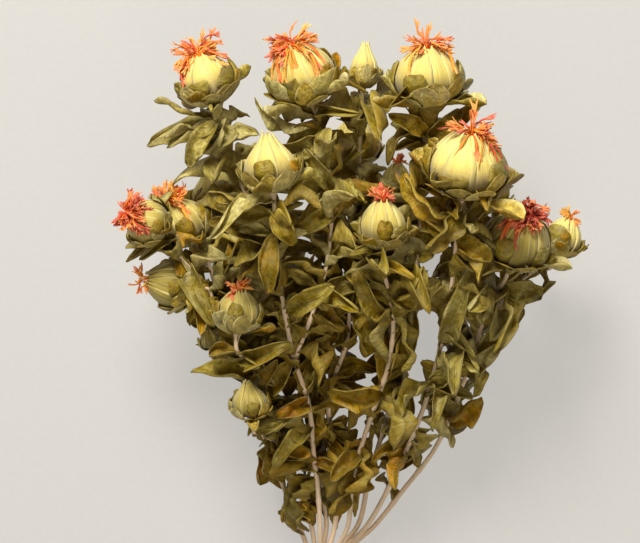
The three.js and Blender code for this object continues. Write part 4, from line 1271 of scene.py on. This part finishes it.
# %% Model the leaves
LEAF_THICKNESS = 0.4
LEAF_ROWS = 16
SMALL_LEAF_ROWS = 13
SMALL_LEAF_LENGTH = 18
BLADE_COLUMNS = 8
ROWS_TO_TIP = 0.45
PATTERN_STEP = 7.3
AGE_RANGE = (0.08, 0.78)
OLD_LEAF_CHANCE = 0.15
OLDER_BY = 0.25
AGE_PULL = 0.75
AGE_NEAR = [
    ((-50, 212), 30, 0), ((62, 190), 26, 0.85), ((14, 215), 22, 0.5), ((95, 135), 24, 0.35),
    ((10, 90), 30, 0.72), ((12, 50), 26, 0.75), ((70, 110), 30, 0.15), ((8, 122), 26, 0.7),
]


def age_of(leaf, seed):
    roll = dice(seed)
    age = between(roll, *AGE_RANGE) + (OLDER_BY if roll() > 1 - OLD_LEAF_CHANCE else 0)
    middle = leaf["base"] + leaf["way"] * leaf["length"] * 0.6
    for (x, y), reach, near_age in AGE_NEAR:
        pull = AGE_PULL * math.exp(-((middle[0] - x) ** 2 + (middle[1] - y) ** 2) / reach ** 2)
        age += (near_age - age) * pull
    return age


def blade_sheet(piece, blade, rows, age, seed, finish=0, head=None, free=0):
    def shape(u, v):
        along = u * (1 + ROWS_TO_TIP - ROWS_TO_TIP * u)
        across = 1 - 2 * v
        half = blade_half_width(blade, along, True)
        place = blade_points(blade, along, across, fine=True)
        if head:
            place = hug(head, along, across, place, free)
        return place, (along * blade["length"], half * across, seed * PATTERN_STEP), (along, across, age)

    piece.sheet(rows, BLADE_COLUMNS, shape, finish)


for number, plant in enumerate(plants):
    piece = Piece()
    for i, leaf in enumerate(plant["blades"]):
        rows = LEAF_ROWS if leaf["length"] > SMALL_LEAF_LENGTH else SMALL_LEAF_ROWS
        blade_sheet(piece, leaf, rows, age_of(leaf, 3000 + number * 100 + i), number * 100 + i)
    made = piece.make(plant["name"].replace("leafy_stem", "leaves"), [leaf_face, leaf_back, leaf_edge],
                      [plant["name"]], LEAF_THICKNESS)
    print(made.name, len(plant["blades"]), "leaves", len(made.data.polygons), "faces")

# %% [markdown]
# The globe of a head is onion shaped: widest low down, drawn in to a narrow mouth, or to a point on a bud.
# The husk over it follows the same profile, a little outside it, so a function gives any place on the onion
# from its angle and height. Heights run from the foot at -0.86 to the mouth at 1, and the head's radius and
# how tall it is make millimetres of them.

# %% The onion form
GLOBE_PROFILE = [(0.34, -0.86), (0.84, -0.54), (1, -0.08), (0.89, 0.34), (0.58, 0.74), (0.27, 1)]
BUD_PROFILE = [(0.34, -0.86), (0.84, -0.54), (1, -0.12), (0.84, 0.34), (0.46, 0.8), (0.12, 1.25)]
SLOPE_STEP = 0.02
NARROWEST_SHARE = 0.02
NARROWING_ABOVE = 0.25


def onion(head):
    profile = GLOBE_PROFILE if head["florets"] else BUD_PROFILE
    line = Limb.smooth([vec((radius, 0, height)) for radius, height in profile])
    return line[:, 0], line[:, 2]


def on_onion(head, angle, height, lift):
    radii, heights = onion(head)
    radius = np.interp(height, heights, radii)
    beyond = np.maximum(height - heights[-1], 0)
    radius = np.maximum(radius - beyond * NARROWING_ABOVE, NARROWEST_SHARE)
    rise = np.interp(height + SLOPE_STEP, heights, radii) - np.interp(height - SLOPE_STEP, heights, radii)
    slope = np.arctan2(-rise, 2 * SLOPE_STEP * head["tall"])
    up, side, out = head_frame(head)
    around = turned(side, out, angle)
    outward = around * np.cos(slope)[:, None] + np.outer(np.sin(slope), up)
    centre = vec(head["centre"]) + np.outer(height * head["tall"] * head["radius"], up)
    return centre + around * (radius * head["radius"])[:, None] + outward * lift[:, None]


def onion_grain(head, angle, height, offset):
    size = head["radius"]
    return np.cos(angle) * size, np.sin(angle) * size, height * size + offset


def onion_looks(head, height, across):
    return (height - GLOBE_FOOT) / (1 - GLOBE_FOOT), head["green"], across


print("places on a profile", len(onion(HEADS["head_01"])[0]))

# %% [markdown]
# The globe itself could be a curve that Blender's spin turns round. A sphere from Blender has the same rings
# already, with closed ends, so each ring of one is moved to its radius and height on the profile.

# %% Model the globes
GLOBE_SEGMENTS = 48
GLOBE_RINGS = 32
MOUTH_DEPTH_SHARE = 0.06


def globe_body(name, head, number):
    piece = Piece()
    ball = bmesh.ops.create_uvsphere(piece.mesh, u_segments=GLOBE_SEGMENTS, v_segments=GLOBE_RINGS, radius=1)
    x, y, z = np.array([corner.co for corner in ball["verts"]]).T
    angle = -np.arctan2(y, x)
    level = 1 - np.arccos(np.clip(z, -1, 1)) / math.pi
    radii, heights = onion(head)
    radii = np.concatenate([[0], radii, [0]])
    heights = np.concatenate([heights[:1], heights, heights[-1:] - MOUTH_DEPTH_SHARE])
    share = np.linspace(0, 1, len(radii))
    radius, height = np.interp(level, share, radii), np.interp(level, share, heights)
    up, side, out = head_frame(head)
    place = vec(head["centre"]) + np.outer(height * head["tall"] * head["radius"], up)
    place = place + turned(side, out, angle) * (radius * head["radius"])[:, None]
    grain = onion_grain(head, angle, height, number * 40)
    piece.settle(ball["verts"], place, grain, onion_looks(head, height, 0), 0)
    return piece.make(name.replace("head", "globe"), [globe_skin], [name])


for number, (name, head) in enumerate(HEADS.items()):
    made = globe_body(name, head, number)
print("globes", len(HEADS), "of", len(made.data.polygons), "faces each")

# %% [markdown]
# Round the globe come, from the inside out: the papery scales of the husk, a ring of small spoon-shaped
# bracts that hug its lower half, the leafy bracts of the solids, and the collar leaves. All are sheets. A
# scale narrows to a point, which stands free round the mouth. It bulges a little along its middle, ripples,
# and lies in one of two layers.

# %% A scale of the husk
SCALE_FOOT = -0.55
SCALE_TAPER_START = 0.55
SCALE_FREE_START = 0.82
SCALE_FREE_SHARE = 0.35
SCALE_GAP = 0.2
SCALE_LAYER_GAP = 0.3
SCALE_BULGE = 0.3
SCALE_RIPPLE = 0.14
SCALE_ROWS = 14
SCALE_STRIPS = 6
SCALE_FINISH = 0


def scale_sheet(piece, head, turn, layer, roll, seed, count):
    top = onion(head)[1][-1] + between(roll, 0.02, 0.2)
    half_turn = 2 * math.pi / count * between(roll, 0.56, 0.7)
    flare, sway = between(roll, 0.2, 1.1), between(roll, -0.15, 0.15)

    def shape(u, v):
        across = 2 * v - 1
        height = SCALE_FOOT + (top - SCALE_FOOT) * u
        taper = np.clip((u - SCALE_TAPER_START) / (1 - SCALE_TAPER_START), 0, 1)
        angle = turn + across * half_turn * np.cos(taper * math.pi / 2) ** 0.8 + sway * u ** 2
        free_tip = flare * np.maximum(u - SCALE_FREE_START, 0) * head["radius"] * SCALE_FREE_SHARE
        lift = SCALE_GAP + SCALE_LAYER_GAP * layer + SCALE_BULGE * (1 - across ** 2) * u + free_tip
        lift = lift + SCALE_RIPPLE * np.sin(7 * across + 5 * u + seed)
        place = on_onion(head, angle, height, lift)
        return place, onion_grain(head, angle, height, seed * 5), onion_looks(head, height, across)

    piece.sheet(SCALE_ROWS, SCALE_STRIPS, shape, SCALE_FINISH)


# %% [markdown]
# A spoon is narrow at its root and round at its end. Its edges turn outwards a little, and so does its end.

# %% A spoon-shaped bract
SPOON_GAP = 1.1
SPOON_LAYER_SHARE = 0.05
SPOON_CUP = 0.18
SPOON_ROWS = 12
SPOON_STRIPS = 6
BRACT_FINISH = 3


def spoon_sheet(piece, head, turn, layer, roll, seed):
    size = head["radius"]
    radii, heights = onion(head)
    top = between(roll, -0.4, 0.12)
    half_width = size * between(roll, 0.24, 0.38)
    lean, sway, age = between(roll, 0.1, 0.34), between(roll, -0.2, 0.2), between(roll, 0.05, 0.95)

    def shape(u, v):
        across = 2 * v - 1
        along = u * (1.4 - 0.4 * u)
        height = GLOBE_FOOT + (top - GLOBE_FOOT) * along
        outline = 0.8 * (1 - along) ** 2 + np.maximum(np.sin(math.pi * along ** 1.5), 0) ** (1 - 0.5 * along)
        sideways = across * half_width * outline
        radius = size * np.maximum(np.interp(height, heights, radii), 0.3)
        lift = SPOON_GAP + SPOON_LAYER_SHARE * layer * size + size * lean * along ** 2.5
        lift = lift + SPOON_CUP * half_width * across ** 2 * along
        place = on_onion(head, turn + sideways / radius + sway * along, height, lift)
        return place, (along * size * 1.1, sideways, seed), (along, across, age)

    piece.sheet(SPOON_ROWS, SPOON_STRIPS, shape, BRACT_FINISH)


# %% [markdown]
# The leafy bracts are blades. Where one would enter the globe, it is pushed straight out from the axis until
# it hugs the globe, and its root is drawn in under the foot. Green heads have more scales, which are
# narrower. In front of some globes the leafy bracts are shorter, because the photograph shows more of those
# globes. The Solidify modifier takes a sheet's back from the next finish of the list and its edge from the
# one after that, so the list has three finishes for the scales and three for the bracts.

# %% Model the husks and bracts
BRACT_THICKNESS = 0.35
BRACT_ROWS = 15
BRACT_BULGE = 0.09
HUG_GAP = 0.9
FREE_GAP = 2.4
ROOT_PART = 0.4
ROOT_HEIGHT = -0.82
IN_FRONT_SHARE = 0.2
SCALES = 9
GREEN_SCALES = 15
SPOONS = 11
SMALL_SPOONS = 5
SHORT_IN_FRONT = {"head_06": 0.5, "head_05": 0.85, "head_15": 0.85, "head_01": 0.8, "head_04": 0.9}


def hug(head, along, across, points, free):
    up, side, out = head_frame(head)
    radii, heights = onion(head)
    tall = head["radius"] * head["tall"]
    offset = points - vec(head["centre"])
    height = offset @ up / tall
    near_root = np.clip(1 - along / ROOT_PART, 0, 1) ** 2
    height = height + (np.minimum(height, ROOT_HEIGHT) - height) * near_root
    sideways = columns(offset @ side, offset @ out)
    apart = np.linalg.norm(sideways, axis=1)
    bulge = BRACT_BULGE * head["radius"] * (1 - across ** 2) * np.sin(math.pi * along)
    off = HUG_GAP + bulge + free * FREE_GAP * along ** 2
    least = np.where(height > GLOBE_FOOT, np.interp(height, heights, radii) * head["radius"] + off, 0)
    reach = np.maximum(apart, least) / np.maximum(apart, 0.01)
    sideways = sideways * reach[:, None]
    return vec(head["centre"]) + np.outer(height * tall, up) + sideways @ np.stack([side, out])


for number, (name, head) in enumerate(HEADS.items()):
    piece = Piece()
    roll = dice(5000 + number)
    scales = GREEN_SCALES if head["green"] > 0.6 else SCALES
    for i in range(scales):
        turn = 2 * math.pi * (i + between(roll, -0.12, 0.12)) / scales
        scale_sheet(piece, head, turn, i % 2, roll, number * 60 + i, scales)
    for i in range(SPOONS if head["radius"] > SMALL_HEAD_RADIUS else SMALL_SPOONS):
        turn = 2 * math.pi * (i + between(roll, -0.25, 0.25)) / SPOONS + 0.4
        spoon_sheet(piece, head, turn, i % 2, roll, number * 60 + i + 20)
    for i, blade in enumerate([*bracts_of[name], *collar_of[name]]):
        free = between(roll, 0.2, 1.3)
        if blade["base"][2] > head["centre"][2] + IN_FRONT_SHARE * head["radius"]:
            blade = {**blade, "length": blade["length"] * SHORT_IN_FRONT.get(name, 1)}
        age = between(roll, 0.05, 0.85)
        blade_sheet(piece, blade, BRACT_ROWS, age, number * 60 + i + 35, BRACT_FINISH, head, free)
    made = piece.make(name.replace("head", "bracts"),
                      [globe_skin, globe_skin, husk_rim, bract_back, bract_face, leaf_edge],
                      [name], BRACT_THICKNESS)
    print(made.name, len(bracts_of[name]), "leafy bracts,", len(made.data.polygons), "faces")

# %% [markdown]
# A tuft is made of many florets. The needles of the solid's tuft give the first florets their directions, so
# the dressed tuft keeps its reach. The others lean together in the clumps that the photograph shows on each
# head, and on some heads a few hang down over the globe. A row of TUFTS is how red the tuft is, how many
# florets it has besides the needles, and the directions of its clumps. A row of DRAPES is the directions of
# the hanging ones. TUFT_RISE is about how far a needle rises above the mouth, in radii, from the least to
# the most. LOW_TUFTS names the tufts that stay lower, and WIDE_TUFTS those that reach farther.

# %% The tufts
TUFTS = {
    "head_01": (0.5, 46, [
        (-0.75, -0.65, 0.3), (-0.8, -0.55, 0.4), (-0.95, 0.1, 0.3), (-0.7, 0.6, 0.2), (0.4, 0.85, 0.1),
        (0.9, 0.35, 0.2), (0.9, -0.1, 0.3), (-0.7, -0.6, 0.4),
    ]),
    "head_02": (0.45, 46, [
        (-0.95, 0.0, 0.3), (-0.75, -0.55, 0.5), (-0.35, -0.75, 0.6), (0.85, 0.35, 0.2),
        (0.7, -0.4, 0.45), (-0.8, 0.2, 0.5),
    ]),
    "head_04": (0.5, 28, [
        (0.9, 0.05, 0.3), (-0.95, -0.1, 0.3), (0.7, 0.25, 0.4), (-0.4, -0.6, 0.7), (0, 1, 0.1),
    ]),
    "head_06": (0.6, 48, [
        (0.85, -0.3, 0.5), (0.75, -0.05, 0.5), (0.6, 0.3, 0.4), (-0.8, 0.35, 0.3), (0.8, -0.5, 0.4),
        (0.7, 0.1, 0.6), (0, 1, 0.2),
    ]),
    "head_07": (0.75, 84, [
        (0.2, 0.95, 0.4), (0.9, 0.3, 0.6), (0.8, -0.3, 0.7), (0.3, -0.9, 0.6), (-0.4, -0.5, 0.7),
        (0.4, 0.6, 0.8),
    ]),
    "head_08": (0.25, 76, [
        (-0.8, 0.5, 0.3), (-0.4, 0.8, 0.3), (0.3, 0.7, 0.4), (-0.9, 0.1, 0.4), (0.5, 0.1, 0.9),
    ]),
    "head_09": (0.4, 8, [(-0.3, -0.9, 0.3), (-0.75, 0.4, 0.3)]),
    "head_10": (0.5, 16, [(0.3, 0.9, 0.2), (-0.5, 0.7, 0.4), (-0.6, -0.3, 0.6)]),
    "head_13": (0.7, 22, [(0, 1, 0.2), (0.4, 0.8, 0.4), (-0.3, 0.9, 0.4)]),
    "head_14": (0.5, 14, [(0.2, 0.95, 0.2)]),
    "head_15": (0.85, 88, [
        (-0.8, -0.2, 0.6), (-0.5, 0.3, 0.8), (0.9, 0.15, 0.35), (0.1, 0.5, 0.8), (0.3, -0.6, 0.8),
        (-0.6, -0.6, 0.6), (-0.1, -0.2, 1),
    ]),
    "head_16": (0.15, 10, [(-0.5, 0.85, 0.1), (0.4, -0.4, 0.3)]),
    "head_17": (0.7, 14, [(0, 1, 0.2)]),
    "head_19": (0.5, 14, [(0.2, 1, 0.2)]),
    "head_20": (0.4, 14, [(-0.2, 1, 0.2)]),
}
TUFT_RISE = (0.1, 0.9)
LOW_TUFTS = {
    "head_02": (0.05, 0.65), "head_04": (0.05, 0.5), "head_06": (0, 0.3), "head_07": (0.05, 0.6),
    "head_08": (0.1, 0.6), "head_10": (0.05, 0.45), "head_13": (0.1, 0.5), "head_15": (0, 0.35),
}
DRAPES = {
    "head_01": [(-0.9, -0.3, 0.4)] * 5,
    "head_02": [(-0.8, -0.5, 0.5)] * 5 + [(-0.1, -0.5, 0.9)] * 3 + [(0.75, -0.4, 0.6)] * 4,
    "head_04": [(-0.5, -0.5, 0.8), (0.9, -0.2, 0.4), (0.85, -0.3, 0.6)],
    "head_06": [(0.05, -0.3, 1)] * 2 + [(0.8, -0.4, 0.6)] * 5,
    "head_07": [(0.3, -0.9, 0.6)] * 3, "head_08": [(0.4, -0.4, 0.9)] * 3,
    "head_15": [(-0.8, -0.4, 0.6)] * 5,
}
WIDE_TUFTS = {
    "head_01": 1.9, "head_02": 1.3, "head_04": 1.2, "head_06": 1.15, "head_07": 1.7, "head_08": 1.5,
    "head_15": 1.25,
}
print("tufts", len(TUFTS))

# %% [markdown]
# A hanging floret follows the onion from the mouth down. The needles of the solids come from their own
# formula, as the leaves do, and stand on a low drum over the mouth, which is wider where there are more of
# them. Every other floret rises from the mouth, bends at a knee and heads for its clump.

# %% The paths of the florets
DRAPE_POINTS = 6
DRAPE_GAP = 1.1
DRAPE_BOW = 1.6
DRUM_LEAST = 1.6
DRUM_A_NEEDLE = 0.2
NEEDLE_START = 1.1
KNEE_SWAY = 0.06


def any_way(roll, most):
    return vec([between(roll, -most, most) for _ in range(3)])


def drape_path(head, way, roll):
    _, side, out = head_frame(head)
    way = vec(way) + any_way(roll, 0.3)
    turn = math.atan2(way @ out, way @ side)
    share = np.linspace(0, 1, DRAPE_POINTS)
    heights = 1 + (between(roll, 0.25, 0.7) - 1) * share
    angles = turn + between(roll, -0.25, 0.25) * share
    lift = DRAPE_GAP + DRAPE_BOW * np.sin(math.pi * share) + between(roll, 0, 0.8)
    return on_onion(head, angles, heights, lift)


def needle_ends(name, head, number):
    up, side, out = head_frame(head)
    seat = vec(head["centre"]) + up * (head["radius"] * head["tall"] + SEAT_GAP)
    count = head["florets"]
    drum = max(DRUM_LEAST, count * DRUM_A_NEEDLE)
    roll = dice(300 + number)
    ends = []
    for i in range(count):
        bend = 2 * math.pi * i / count + between(roll, -0.1, 0.1)
        end = bend + between(roll, -0.2, 0.2)
        reach = head["radius"] * between(roll, 0.55, 1) + drum
        rise = head["radius"] * between(roll, *LOW_TUFTS.get(name, TUFT_RISE))
        around = side * math.cos(end) + out * math.sin(end)
        ends.append(seat + up * (NEEDLE_START + rise) + around * reach)
    return seat, drum, ends


def floret_path(root, end, up, roll):
    size = np.linalg.norm(end - root)
    sideways = any_way(roll, 1)
    knee = root + up * size * between(roll, 0.12, 0.4) + (end - root) * between(roll, 0.25, 0.45)
    return Limb.smooth([root, knee, (knee + end) / 2 + sideways * size * KNEE_SWAY, end])[::4]


# %% [markdown]
# A floret is a thin flat tube that widens upwards and splits into three pointed lobes. Hair curves would
# be quicker to make, but they don't become a part of the mesh, so each floret is a tube. Its first value of
# looks runs from the root to the ends of the lobes.

# %% Model the tufts
LOBES = 3
FLORET_SIDES = 6
FLORET_FLATNESS = 0.5
LOBE_FLATNESS = 0.35
LOBE_START = 0.6
LOBE_OVERLAP = 0.6
LOBE_LENGTH = 2
LOBE_SHARE = 0.22
FLORET_ROOT_DEPTH = 0.15
FLORET_ROOT_SPREAD = 0.7
NEEDLE_REACH = 0.85
CLUMP_SPREAD = 0.35


def floret_tube(piece, path, roll, red, long):
    way = unit(path[-1] - path[-2])
    across = unit(np.cross(way, any_way(roll, 1)))
    broad = between(roll, 0.5, 0.85)
    share = np.linspace(0, 1, len(path))
    wide = broad * np.interp(share, [0, 0.35, 0.75, 1], [0.45, 0.6, 1, 0.9])
    piece.tube(path, wide, wide * FLORET_FLATNESS, FLORET_SIDES, lambda u: (u * LOBE_START, red, 0), across)
    steps = np.array([0, 0.3, 0.65, 0.9, 1])
    for lobe in range(LOBES):
        spread = (lobe - (LOBES - 1) / 2) * between(roll, 0.15, 0.4)
        length = long * between(roll, 0.6, 1.1)
        heading = unit(way * math.cos(spread) + across * math.sin(spread))
        lift = np.cross(heading, across) * between(roll, -0.4, 0.4)
        points = path[-1] - way * LOBE_OVERLAP + np.outer(steps * length, heading)
        points = points + np.outer(steps ** 2 * length, lift)
        wide = broad * between(roll, 0.75, 1) * np.array([0.8, 1, 0.95, 0.6, 0.1])
        piece.tube(points, wide, wide * LOBE_FLATNESS, FLORET_SIDES,
                   lambda u: (LOBE_START + u * (1 - LOBE_START), red, 0), across)


def tuft_piece(name, head, number):
    piece = Piece()
    red_here, extra, clumps = TUFTS[name]
    seat, drum, ends = needle_ends(name, head, number)
    up = head_frame(head)[0]
    roll = dice(6000 + number)
    long = LOBE_LENGTH + LOBE_SHARE * head["radius"]
    for way in DRAPES.get(name, []):
        red = min(1, max(0, red_here + between(roll, -0.5, 0.3)))
        floret_tube(piece, drape_path(head, way, roll), roll, red, long)
    for i in range(len(ends) + extra):
        spread = any_way(roll, 1)
        root = seat - up * head["radius"] * FLORET_ROOT_DEPTH + spread * drum * FLORET_ROOT_SPREAD
        if i < len(ends):
            end = seat + (ends[i] - seat) * NEEDLE_REACH - unit(ends[i] - seat) * long
        else:
            way = unit(vec(clumps[i % len(clumps)]) + spread * CLUMP_SPREAD)
            end = seat + way * head["radius"] * between(roll, 0.2, 0.6) * WIDE_TUFTS.get(name, 1)
        red = min(1, max(0, red_here + between(roll, -0.45, 0.35)))
        floret_tube(piece, floret_path(root, end, up, roll), roll, red, long)
    node = name.replace("head", "florets")
    return piece.make(name.replace("head", "tuft"), [floret_petal], [node])


for number, (name, head) in enumerate(HEADS.items()):
    if head["florets"]:
        made = tuft_piece(name, head, number)
        print(made.name, head["florets"] + TUFTS[name][1], "florets", len(made.data.polygons), "faces")

# %% [markdown]
# The tie is jute twine wound round the stems, in the place of the solid band. The photograph ends above it,
# so it is a guess. Its path goes round the stems as a tight band would: at each angle it is as far out as the
# farthest stem in that direction.

# %% The path of the twine
TIE_MIDDLE = vec((0, 0, tie_row(0.7)))


def band_point(angle, extra, y):
    stems_at = np.array([(slot[0] * SLOT_PITCH, 0, tie_row(slot[1])) for slot, *_ in STEMS]) - TIE_MIDDLE

    def reach(turn):
        return (stems_at @ vec((math.cos(turn), 0, math.sin(turn)))).max() + STEM_RADIUS_LOW + SEAT_GAP

    step = 0.01
    slope = (reach(angle + step) - reach(angle - step)) / (2 * step)
    out, along = reach(angle) + extra, slope
    return TIE_MIDDLE + vec((out * math.cos(angle) - along * math.sin(angle), y,
                             out * math.sin(angle) + along * math.cos(angle)))


print("the tie's middle is", round(TIE_MIDDLE[2], 1), "mm above the table")

# %% [markdown]
# Three strands twist round each other along the path. Two small loops and two loose ends make the bow.

# %% Model the twine
TWINE_TURNS = 4
TURNS_WIDTH = 6.8
TURNS_START = 0.3 * math.pi
STEPS_A_TURN = 60
STRANDS = 3
STRAND_RADIUS = 0.62
STRAND_OFFSET = 0.5
STRAND_SIDES = 7
STRAND_STEP = 0.8
TWIST_LENGTH = 5.5
TURNS_LIFT = 1.05
KNOT_ANGLE = 0.42 * math.pi
KNOT_LIFT = 3.0
LOOPS = ((0.5, 2.4), (-0.5, 2.0))
LOOP_LENGTH = 4.4


def twine_run(piece, path):
    steps = np.linalg.norm(np.diff(path, axis=0), axis=1)
    run = np.concatenate([[0], np.cumsum(steps)])
    even = np.linspace(0, run[-1], math.ceil(run[-1] / STRAND_STEP) + 1)
    core = columns(*(np.interp(even, run, line) for line in path.T))
    along = np.gradient(core, axis=0)
    along /= np.linalg.norm(along, axis=1)[:, None]
    side = np.cross(along, vec((0.1, 1, 0.2)))
    side /= np.linalg.norm(side, axis=1)[:, None]
    up = np.cross(side, along)
    for strand in range(STRANDS):
        twist = 2 * math.pi * (even / TWIST_LENGTH + strand / STRANDS)
        offset = side * np.cos(twist)[:, None] + up * np.sin(twist)[:, None]
        strand_line = core + offset * STRAND_OFFSET
        piece.tube(strand_line, STRAND_RADIUS, STRAND_RADIUS, STRAND_SIDES, lambda u: (u, u, u))
    return run[-1]


piece = Piece()
angles = TURNS_START + np.linspace(0, 2 * math.pi * TWINE_TURNS, STEPS_A_TURN * TWINE_TURNS)
turns = [band_point(angle, TURNS_LIFT, TURNS_WIDTH * (i / len(angles) - 0.5))
         for i, angle in enumerate(angles)]
wound = twine_run(piece, np.array(turns))
knot_at = band_point(KNOT_ANGLE, KNOT_LIFT, 0.2)
bow = np.linspace(0, 2 * math.pi, 40)
for tilt, width in LOOPS:
    along = np.sin(bow) * LOOP_LENGTH
    loop = columns(np.cos(bow) * width + along * tilt * 0.5, along, np.sin(bow * 2 + tilt) * 0.8 - 0.2)
    twine_run(piece, knot_at + loop)
for sign in (-1, 1):
    route = [(0, 0, 0), (sign * 4, -2, 0.6), (sign * 9, -6, -0.8), (sign * 12, -13, -3.2)]
    loose = twine_run(piece, Limb.smooth([knot_at + vec(place) for place in route]))
cap_ends(piece)
print("twine wound, mm", round(wound), "and a loose end, mm", round(loose))
twine = piece.make("twine", [jute_fibre], ["twine_tie"])
print("twine", len(twine.data.polygons), "faces")

# %% [markdown]
# The bunch lies on a plain pale table, and the camera looks straight down on it, so what was up in the
# photograph is up in the picture. The key light comes from beyond the heads and a little from the left, and
# lights the tops of the globes. A wider, weaker and warmer one from above the stems fills the shadows. The
# sky is dim, and the table glows, which is painted light: it keeps the table even and pale behind the bunch
# and lifts the shadows that the bunch casts on it.

# %% Table
TABLE_HALF_WIDTH = 6

table = Finish("glowing_table", 0.75)
grit = table.noise(table.node("ShaderNodeTexCoord").outputs["Object"], 400.0, 2.0)
table.speckled(grit, [(0.4, (0.20, 0.19, 0.174)), (0.6, (0.21, 0.20, 0.184))])
# The glow is painted light: it gives most of the table's pale tone over its dark paint and lifts the bunch's
# shadows on it.
table.shader.inputs["Emission Color"].default_value = (1.0, 0.975, 0.925, 1)
table.shader.inputs["Emission Strength"].default_value = 0.455
table_mesh = bmesh.new()
bmesh.ops.create_grid(table_mesh, x_segments=1, y_segments=1, size=TABLE_HALF_WIDTH)
floor_mesh = bpy.data.meshes.new("table_top")
table_mesh.to_mesh(floor_mesh)
table_mesh.free()
floor_mesh.materials.append(table.material)
floor = add_to_scene("table_top", floor_mesh)
print("table", 2 * TABLE_HALF_WIDTH, "m wide")

# %% [markdown]
# The camera's lens follows from its height and the width of the picture, which the photograph's scale of
# 0.45 mm a pixel gives.

# %% Camera and light
PICTURE_MIDDLE = in_place((-2, 145.6, 92))
PICTURE_WIDTH = 288 * MM
CAMERA_HEIGHT = 1.5
SENSOR_WIDTH = 36

camera_data = bpy.data.cameras.new("camera")
camera_data.sensor_width = SENSOR_WIDTH
camera_data.lens = SENSOR_WIDTH * CAMERA_HEIGHT / PICTURE_WIDTH
camera_data.clip_end = 50
camera = add_to_scene("camera", camera_data)
camera.location = Vector(PICTURE_MIDDLE) + Vector((0, 0, CAMERA_HEIGHT))
bpy.context.scene.camera = camera

world = bpy.data.worlds.new("studio")
world.use_nodes = True
sky = world.node_tree.nodes["Background"]
sky.inputs["Color"].default_value = (1.0, 0.97, 0.92, 1)
sky.inputs["Strength"].default_value = 0.13
bpy.context.scene.world = world


def soft_light(name, place, size, watts, colour):
    light = bpy.data.lights.new(name, "AREA")
    light.size = size
    light.energy = watts
    light.color = colour
    lamp = add_to_scene(name, light)
    lamp.location = place
    aim = Vector(in_place((0, 150, 60))) - lamp.location
    lamp.rotation_euler = aim.to_track_quat("-Z", "Y").to_euler()


soft_light("key", (-0.2, 0.75, 0.85), 0.4, 16.0, (1.0, 0.97, 0.92))
soft_light("fill", (0.1, -0.5, 1.2), 0.8, 5.5, (1.0, 0.91, 0.80))
bpy.context.scene.view_settings.view_transform = "Standard"
print("camera lens", round(camera_data.lens, 1), "mm")
